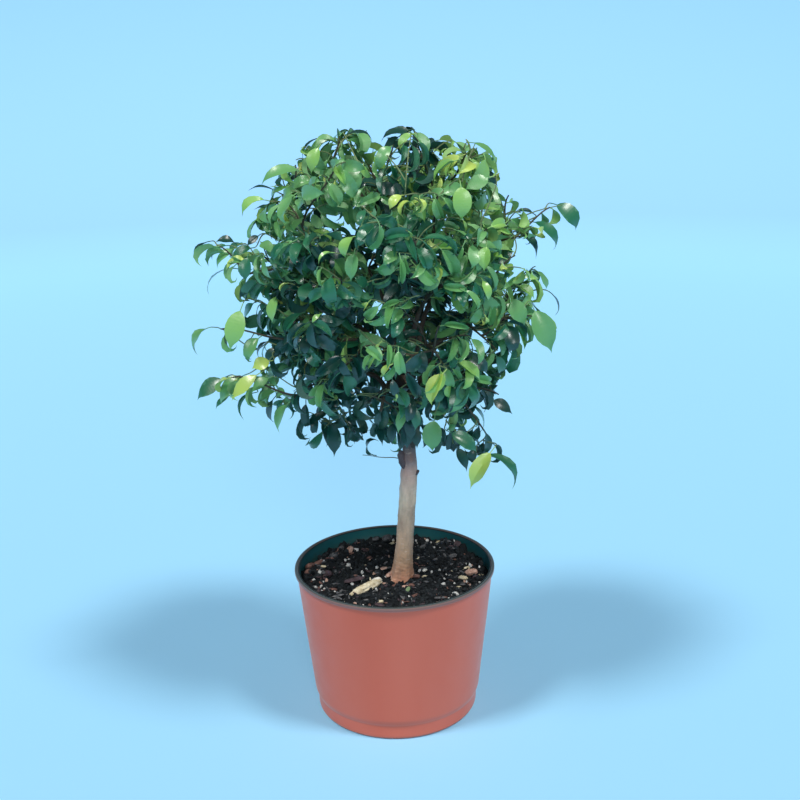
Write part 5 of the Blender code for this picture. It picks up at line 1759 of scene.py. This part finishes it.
@dataclass
class Head:
    """The head of foliage: masses grown from their boughs, and the pieces that show them."""

    boughs: Boughs
    form: HeadForm = field(default_factory=HeadForm)
    shape: LeafShape = field(default_factory=LeafShape)
    tone_shares: tuple[float, ...] = (0.45, 0.3, 0.215, 0.032, 0.003)
    painted_light_side: float = 1.4          # painted light: how much lighter the leaves are far out on either side
    light_and_shade_lift: float = 1.35         # painted light and shade: how much lighter the sprays are high up, and darker low down
    painted_shade_depth: float = 1.6         # painted shade: how much darker the leaves are inside the head
    twig_bark: Bark = Bark("twig_bark", (0.06, 0.056, 0.038), (0.032, 0.03, 0.022), (0.13, 0.116, 0.082))
    green_wood: Bark = Bark("green_shoot", (0.17, 0.235, 0.105), (0.085, 0.13, 0.058), (0.32, 0.39, 0.2), 0.6)
    # Pale shoots that show from the front: (across, down, how far behind the pot's middle).
    stems: dict[str, Spots] = field(default_factory=lambda: {
        "pale_stem": ((402, 214, -0.06), (405, 198, -0.104), (406, 178, -0.098),
                      (408, 156, -0.072), (411, 134, -0.04)),
        "pale_side_stem": ((405, 180, -0.096), (398, 168, -0.088), (386, 154, -0.066)),
        "top_left_stem": ((362, 170, -0.06), (354, 154, -0.046), (343, 132, -0.02)),
        "top_right_stem": ((462, 182, -0.06), (466, 164, -0.046), (475, 144, -0.01)),
        "right_high_stem": ((505, 222, -0.02), (524, 216, -0.01), (538, 210, -0.004),
                            (562, 205, 0)),
    })
    # Leaves that stand out, by where they show: the values of ShownLeaf, its two places laid flat. Their
    # tones follow how light or dark each looks, so DEEP holds painted shade, and BRIGHT and FRESH hold
    # painted highlight as well as leaf age.
    shown: dict[str, tuple[tuple, ...]] = field(default_factory=lambda: {
        "on the stub's twig": ((371, 455.5, 373, 441.5, -0.01, DEEP, 190, 84, 0.9, False),),
        "left": (
            (205, 328, 193, 352, 0.01, BRIGHT, 118, 66), (240, 311, 229, 352, -0.055, FRESH, 50, 14, 1.1),
            (251, 338, 247, 360, -0.02, DEEP, 70, 40), (267, 341, 256, 357, 0, DEEP, 110, 70),
            (269, 361, 251, 368, -0.05, LIME, 60, 25, 1.5)),
        "left, low": (
            (221, 379, 194, 399, 0, MID, 48, 32, 1.25), (241, 376, 217, 402, -0.015, BRIGHT, 90, 40, 1.2),
            (256, 375, 229, 400, -0.04, LIME, 55, 34, 0.9),
            (268, 378, 250, 392, -0.03, BRIGHT, 60, 40, 1.1), (228, 396, 214, 408, -0.005, MID, 60, 50),
            (250, 393, 239, 416, -0.01, MID, 120, 80, 0.8)),
        "left, high": (
            (205, 242, 192, 260, 0, DEEP, 90, 80, 0.8), (234, 242, 215, 240, 0, DEEP, 80, 50, 1.15),
            (258, 236, 246, 246, -0.02, DEEP, 30, 20, 1.4),
            (232, 249, 214, 266, -0.015, BRIGHT, 80, 44, 1.15),
            (250, 248, 232, 258, -0.02, MID, 70, 40, 1.2), (226, 245, 209, 257, -0.01, MID, 90, 60),
            (244, 259, 224, 268, -0.035, LIME, 66, 40, 1.2),
            (232, 267, 203, 288, -0.01, MID, 104, 82, 0.7), (247, 258, 245, 282, -0.045, MID, 60, 25, 1.2)),
        "left, below": (
            (252, 285, 238, 299, -0.02, DEEP, 70, 40, 1.1), (276, 297, 270, 324, -0.055, FRESH, 60, 30),
            (264, 307, 263, 333, -0.04, DEEP, 120, 76, 0.9)),
        "upper left": (
            (298, 169, 260, 180, -0.045, BRIGHT, 104, 54, 0.85),
            (306, 179, 275, 178, -0.005, DEEP, 30, 56, 0.8), (273, 189, 248, 187, 0, DEEP, 60, 76, 0.8),
            (264, 199, 240, 212, -0.02, FRESH, 108, 52, 1), (275, 208, 254, 207, -0.01, DEEP, 60, 70, 0.8)),
        "top": (
            (337, 143, 314, 140, -0.01, BRIGHT, 100, 62), (316, 138, 299, 157, 0, DEEP, 80, 76, 0.8),
            (318, 148, 309, 174, -0.04, FRESH, 60, 30, 1.1), (348, 133, 372, 135, 0, DEEP, 100, 72, 0.9),
            (414, 134, 431, 154, -0.03, BRIGHT, 60, 40, 1.3),
            (412, 134, 398, 150, -0.035, FRESH, 80, 46, 1.2),
            (474, 142, 499, 161, -0.01, BRIGHT, 84, 66, 0.8),
            (484, 172, 498, 186, -0.015, DEEP, 50, 30, 1.3)),
        "over the middle": (
            (488, 178, 464, 190, -0.055, BRIGHT, 50, 24, 1.3),
            (461, 187, 462, 222, -0.095, FRESH, 66, 12, 1.25),
            (401, 195, 389, 208, -0.112, LIME, 120, 30, 1.3),
            (412, 201, 403, 212, -0.116, LIME, 200, 66, 1.2),
            (418, 198, 421, 212, -0.114, LIME, 140, 62, 1.2),
            (352, 236, 344, 256, -0.118, FRESH, 150, 48, 1.1),
            (331, 252, 317, 262, -0.112, FRESH, 100, 60, 1),
            (354, 254, 351, 282, -0.12, BRIGHT, 60, 10, 1.45),
            (394, 245, 388, 270, -0.118, MID, 70, 30, 1.3),
            (440, 266, 439, 283, -0.115, LIME, 40, 20, 1.5),
            (486, 247, 484, 272, -0.098, FRESH, 50, 15, 1.3)),
        "right": (
            (557, 204, 580, 228, 0, MID, 96, 46, 1.15), (535, 221, 561, 246, -0.01, MID, 104, 58, 1.05),
            (519, 232, 540, 255, -0.02, DEEP, 90, 58, 1), (533, 213, 516, 211, 0, DEEP, 60, 60, 0.9),
            (538, 271, 549, 290, -0.01, BRIGHT, 90, 56), (537, 273, 523, 279, -0.01, DEEP, 130, 80, 0.8),
            (553, 294, 560, 315, 0, DEEP, 80, 80, 0.6), (519, 286, 536, 298, -0.03, FRESH, 50, 40, 1.2),
            (535, 311, 554, 354, -0.052, BRIGHT, 46, 12, 1.25),
            (508, 300, 527, 326, -0.05, BRIGHT, 60, 30, 1.2), (515, 320, 529, 342, -0.04, MID, 60, 40, 1)),
        "over the lower middle": (
            (459, 362, 483, 380, -0.09, FRESH, 60, 40, 1.1),
            (442, 374, 429, 406, -0.105, LIME, 84, 30, 1.25)),
        "low right": (
            (494, 400, 513, 414, -0.02, DEEP, 40, 30, 1.2), (479, 392, 488, 413, -0.03, DEEP, 60, 70, 0.7),
            (474, 405, 485, 432, -0.03, MID, 110, 76, 0.7)),
        "lowest right": (
            (462, 430, 485, 452, -0.04, DEEP, 80, 76, 0.7),
            (452, 433, 480, 452, -0.055, MID, 50, 20, 1.15), (457, 448, 469, 472, -0.045, DEEP, 40, 40, 1),
            (490, 453, 468, 489, -0.06, LIME, 44, 20, 1.05),
            (488, 454, 520, 483, -0.04, MID, 106, 66, 0.75)),
        "underneath": (
            (434, 421, 431, 454, -0.06, BRIGHT, 40, 12, 1.25),
            (406, 408, 396, 434, -0.075, BRIGHT, 60, 30, 1), (412, 406, 417, 432, -0.075, MID, 60, 30, 1),
            (404, 424, 408, 450, -0.045, DEEP, 50, 20, 1.3),
            (413, 424, 418, 450, -0.04, DEEP, 40, 15, 1.2), (411, 416, 410, 442, -0.05, DEEP, 50, 10, 1.3),
            (424, 428, 425, 450, -0.03, DEEP, 60, 30, 1), (398, 430, 401, 453, -0.03, DEEP, 60, 30, 1),
            (396, 422, 390, 446, -0.04, DEEP, 60, 30, 1.2), (374, 424, 384, 446, -0.03, DEEP, 50, 40, 1.1),
            (331, 424, 336, 458, -0.01, DEEP, 40, 20, 1.15), (322, 424, 330, 447, 0, DEEP, 60, 40, 1),
            (342, 434, 357, 442, 0, DEEP, 60, 50, 1.1), (346, 420, 347, 447, -0.01, DEEP, 60, 30, 1.1)),
        "low left": (
            (327, 412, 305, 426, -0.01, DEEP, 50, 40, 1.1), (272, 400, 270, 423, 0, DEEP, 90, 60, 0.9),
            (276, 408, 290, 414, -0.01, MID, 200, 84, 0.7)),
    })
    # Slender outer twigs: (across, down) in pixels of the same picture, and how far back the tip is.
    sprays: dict[str, Spots] = field(default_factory=lambda: {
        "right": ((524, 226, 0.01), (530, 306, -0.02), (478, 388, -0.01)),
        "lowest right": ((476, 446, -0.04), (466, 434, -0.05)),
        "underneath": (
            (446, 420, -0.04), (416, 424, -0.03), (398, 428, 0.02), (378, 424, -0.03), (350, 430, -0.02),
            (362, 412, 0.02), (376, 406, 0.04), (360, 428, 0.01), (388, 412, 0), (436, 424, -0.02),
            (452, 430, 0.02), (464, 416, 0)),
        "left": ((262, 366, -0.01), (274, 382, 0), (258, 350, 0.01)),
        "top": ((452, 140, 0), (464, 148, -0.01)),
        "low left": (
            (326, 426, 0), (306, 412, 0), (286, 398, -0.01), (268, 388, 0.02), (240, 376, -0.02),
            (256, 384, -0.02)),
        "left, high": ((256, 300, -0.01), (234, 260, -0.02), (246, 244, 0), (242, 280, 0.01)),
        "top, nearer": (
            (282, 178, 0), (296, 160, 0.02), (330, 140, 0.01), (352, 134, -0.01), (404, 134, 0),
            (474, 148, 0.01), (488, 172, 0.02)),
        "left, nearer": ((266, 342, -0.02), (280, 362, 0), (274, 352, -0.03)),
        "low left, nearer": ((306, 398, -0.01), (318, 404, 0.02), (300, 388, -0.03)),
        "low right": ((454, 402, -0.01), (468, 396, 0.01)),
        "bottom": ((370, 398, -0.04), (350, 404, -0.03)),
        "back": (
            (430, 150, 0.12), (404, 236, 0.14), (356, 262, 0.138), (440, 268, 0.138), (398, 290, 0.146),
            (396, 330, 0.132), (350, 372, 0.09), (404, 386, 0.08), (452, 372, 0.09)),
    })
    stem_girth: tuple[float, float] = (0.0022, 0.0013)
    twig_girth: tuple[float, float] = (0.00125, 0.00062)
    shoot_girth: tuple[float, float] = (0.00075, 0.00045)
    masses: list[Mass] = field(default_factory=list)

    def shown_leaves(self) -> Iterator[ShownLeaf]:
        """The leaves that stand out, one after another."""
        for rows in self.shown.values():
            for row in rows:
                yield ShownLeaf(row[:2], row[2:4], *row[4:])

    def grow(self) -> None:
        """Every mass, each within the planes that part it from the others."""
        plan = self.boughs.plan()
        directions = np.array([mass.direction for mass in plan])
        trunk = self.boughs.trunk
        heights = np.linspace(trunk.foot[2], trunk.tip[2], 20)
        limbs = [(trunk.axis(heights), trunk.girth(heights)), *(self.boughs.limb(mass) for mass in plan)]
        tips = self.form.tips()

        def owner(place: Array) -> int:
            """The number of the mass whose direction from the hub is nearest a place's own."""
            return int(np.argmax((place - HUB) @ directions.T))

        for i, mass in enumerate(plan):
            gaps = directions[i] - np.delete(directions, i, axis=0)
            grown = Mass(mass, unit(gaps), limbs, self.form, SEED + 1 + i)
            grown.grow(np.array([tip for tip in tips if owner(tip) == i]), self.boughs.stem_path(mass))
            for tip in (CAMERA.seen_at(*spot) for spots in self.sprays.values() for spot in spots):
                if owner(tip) == i:
                    grown.grow_spray(tip)
            for seen in self.stems.values():
                if owner(CAMERA.seen_at(*seen[-1])) == i:
                    grown.grow_stem(seen)
            for shown in self.shown_leaves():
                if owner(shown.leaf().place) == i:
                    grown.grow_shown(shown)
            self.masses.append(grown)
            LOG.info("%s: %d twigs, %d shoots, %d leaves", mass.name, len(grown.paths),
                     len(grown.shoots), len(grown.leaves))

    def deal_tones(self) -> None:
        """A tone for each spray, lighter high up and at the sides as painted light and darker low down and
        inside as painted shade, and a younger one for some end leaves.

        A spray's draw u from 0 to 1 becomes u^(e^-rise) for each of its leaves, with rise the height
        over the head's centre less the depth inside, and falls to a tone by the running sum of shares.
        """
        tones, limits = list(Tone), np.cumsum(self.tone_shares)[:-1]
        for i, mass in enumerate(self.masses):
            rng = np.random.default_rng(SEED + 200 + i)
            for spray, curve in enumerate(mass.curves):
                drawn = rng.uniform()
                for leaf in (leaf for leaf in mass.leaves if leaf.spray == spray and leaf.tone is None):
                    out = (leaf.place - HEAD_CENTRE) / self.form.radius
                    rise = (self.light_and_shade_lift * out[2] + self.painted_light_side * out[0] ** 2
                            - self.painted_shade_depth * max(0.0, 0.85 - length_of(out)))
                    tone = tones[int(np.searchsorted(limits, drawn ** math.exp(-rise)))]
                    younger = rng.uniform() < (0.3 if leaf.at_end else 0.06)
                    leaf.tone = tone.younger() if younger else tone

    def build(self) -> None:
        """A piece of twigs and a piece of leaves for each mass."""
        self.grow()
        self.deal_tones()
        wood = [self.twig_bark.material(), self.green_wood.material()]
        faces = [face.material() for tone in Tone for face in tone.faces()]
        for i, mass in enumerate(self.masses):
            self.build_twigs(mass, wood)
            rng = np.random.default_rng(SEED + 300 + i)
            rings, tips, uv = self.shape.rings(mass.leaves, rng)
            Skin().add_tubes(rings, self.shape.wear(mass.leaves), uv, tips).piece(
                f"leaves_{mass.plan.name}", "leaf", faces, f"foliage_{mass.plan.name}", sharp=50.0)

    def build_twigs(self, mass: Mass, wood: list[Material]) -> None:
        """The mass's stem and twigs in bark, and its side shoots in green wood."""
        stem = mass.curves[0]
        stem = np.array((stem[0] - 4 * CLEARANCE * unit(stem[1] - stem[0]), *stem))
        shoots = np.array([path for path, _ in mass.shoots])
        skin = Skin()
        for paths, girth, sides, wear in ((stem[None], self.stem_girth, 8, 0),
                                          (np.array(mass.curves[1:]), self.twig_girth, 6, 0),
                                          (shoots, self.shoot_girth, 5, 1)):
            radii = np.broadcast_to(np.linspace(*girth, paths.shape[1]), paths.shape[:2])
            skin.add_tubes(sweep(paths, radii, sides), wear)
        skin.piece(f"twigs_{mass.plan.name}", "bough_bark", wood)


# ---- studio ----
@dataclass(frozen=True)
class DistantLight:
    """One wide soft light far off: its heading from the front, its elevation, its width and its strength."""

    name: str
    heading: float
    elevation: float
    width: float
    watts: float
    colour: Colour = (1.0, 1.0, 1.0)

    def build(self) -> None:
        """The light, aimed at the origin."""
        data = bpy.data.lights.new(self.name, "SUN")
        data.angle, data.energy, data.color = math.radians(self.width), self.watts, self.colour
        made = placed(self.name, data)
        way = heading_vector(self.heading, self.elevation)
        made.location = 3.0 * way
        made.rotation_mode = "QUATERNION"
        made.rotation_quaternion = Vector(-way).to_track_quat("-Z", "Y")


@dataclass
class Studio:
    """A plain pale blue floor that sweeps up far away on all sides, soft lights, and the camera."""

    colour: Colour = (0.318, 0.638, 0.89)
    far_colour: Colour = (0.285, 0.548, 0.835)
    far_height: float = 0.12
    flat_radius: float = 2.6
    curve_radius: float = 2.2
    last_slope: float = 76.0
    sides: int = 96
    world_colour: Colour = (0.7, 0.9, 1.0)
    world_light: float = 0.11
    lights: tuple[DistantLight, ...] = (
        DistantLight("key_left", -57.0, 60.0, 13.0, 1.74, (1.0, 0.975, 0.94)),
        DistantLight("key_right", 57.0, 60.0, 13.0, 1.74, (1.0, 0.975, 0.94)),
        DistantLight("front", 4.0, 24.0, 22.0, 1.05, (0.98, 0.99, 1.0)),
    )

    def floor(self) -> Piece:
        """A dish: flat, then an arc up to the last slope."""
        bend = np.radians(np.linspace(0.0, self.last_slope, 16))
        radius = np.concatenate([[0.4, 1.2], self.flat_radius + self.curve_radius * np.sin(bend)])
        height = np.concatenate([[0.0, 0.0], self.curve_radius * (1 - np.cos(bend))])
        rings = ring_stack(radius, height, self.sides)
        points = np.concatenate([rings.reshape(-1, 3), np.zeros((1, 3))])
        i = np.arange(self.sides)
        fan = np.stack([i, (i + 1) % self.sides, np.full(self.sides, len(points) - 1),
                        np.full(self.sides, -1)], axis=1)
        skin = Skin().add(points, np.concatenate([grid_faces(len(radius), self.sides)[:, ::-1], fan]))
        made = placed("floor", skin.mesh("floor", 60.0))
        recipe = Recipe("floor", self.colour, 0.9, 0.2)
        rise = recipe.range(recipe.height(), 0.0, self.far_height, 0.0, 1.0)
        recipe.link(recipe.blend(rise, self.colour, self.far_colour), "Base Color")
        made.data.materials.append(recipe.material)
        made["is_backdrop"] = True
        return made

    def build(self) -> None:
        """Floor, lights, surroundings and camera."""
        self.floor()
        for light in self.lights:
            light.build()
        scene = bpy.context.scene
        scene.world = bpy.data.worlds.new("surroundings")
        scene.world.use_nodes = True
        sky = scene.world.node_tree.nodes["Background"]
        sky.inputs["Color"].default_value = (*self.world_colour, 1.0)
        sky.inputs["Strength"].default_value = self.world_light
        scene.view_settings.view_transform = "Standard"
        CAMERA.build()


def write_sizes() -> None:
    """Works out the frame's box and the dressed model's as plain lists, which are neither returned nor
    written.
    """
    boxes = {"cad": CAD_BOUNDS, "visual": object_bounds()}
    {name: [list(corner) for corner in box] for name, box in boxes.items()}


def main() -> None:
    """Builds the studio and every sub-assembly, in the order that one stands on another."""
    logging.basicConfig(level=logging.INFO, format="%(message)s")
    Studio().build()
    pot = Pot()
    pot.build()
    trunk = Trunk()
    PottingMix(pot, trunk.foot).build()
    trunk.build_bark()
    trunk.build_stub()
    boughs = Boughs(trunk)
    boughs.build()
    Head(boughs).build()
    write_sizes()


if __name__ == "__main__":
    main()
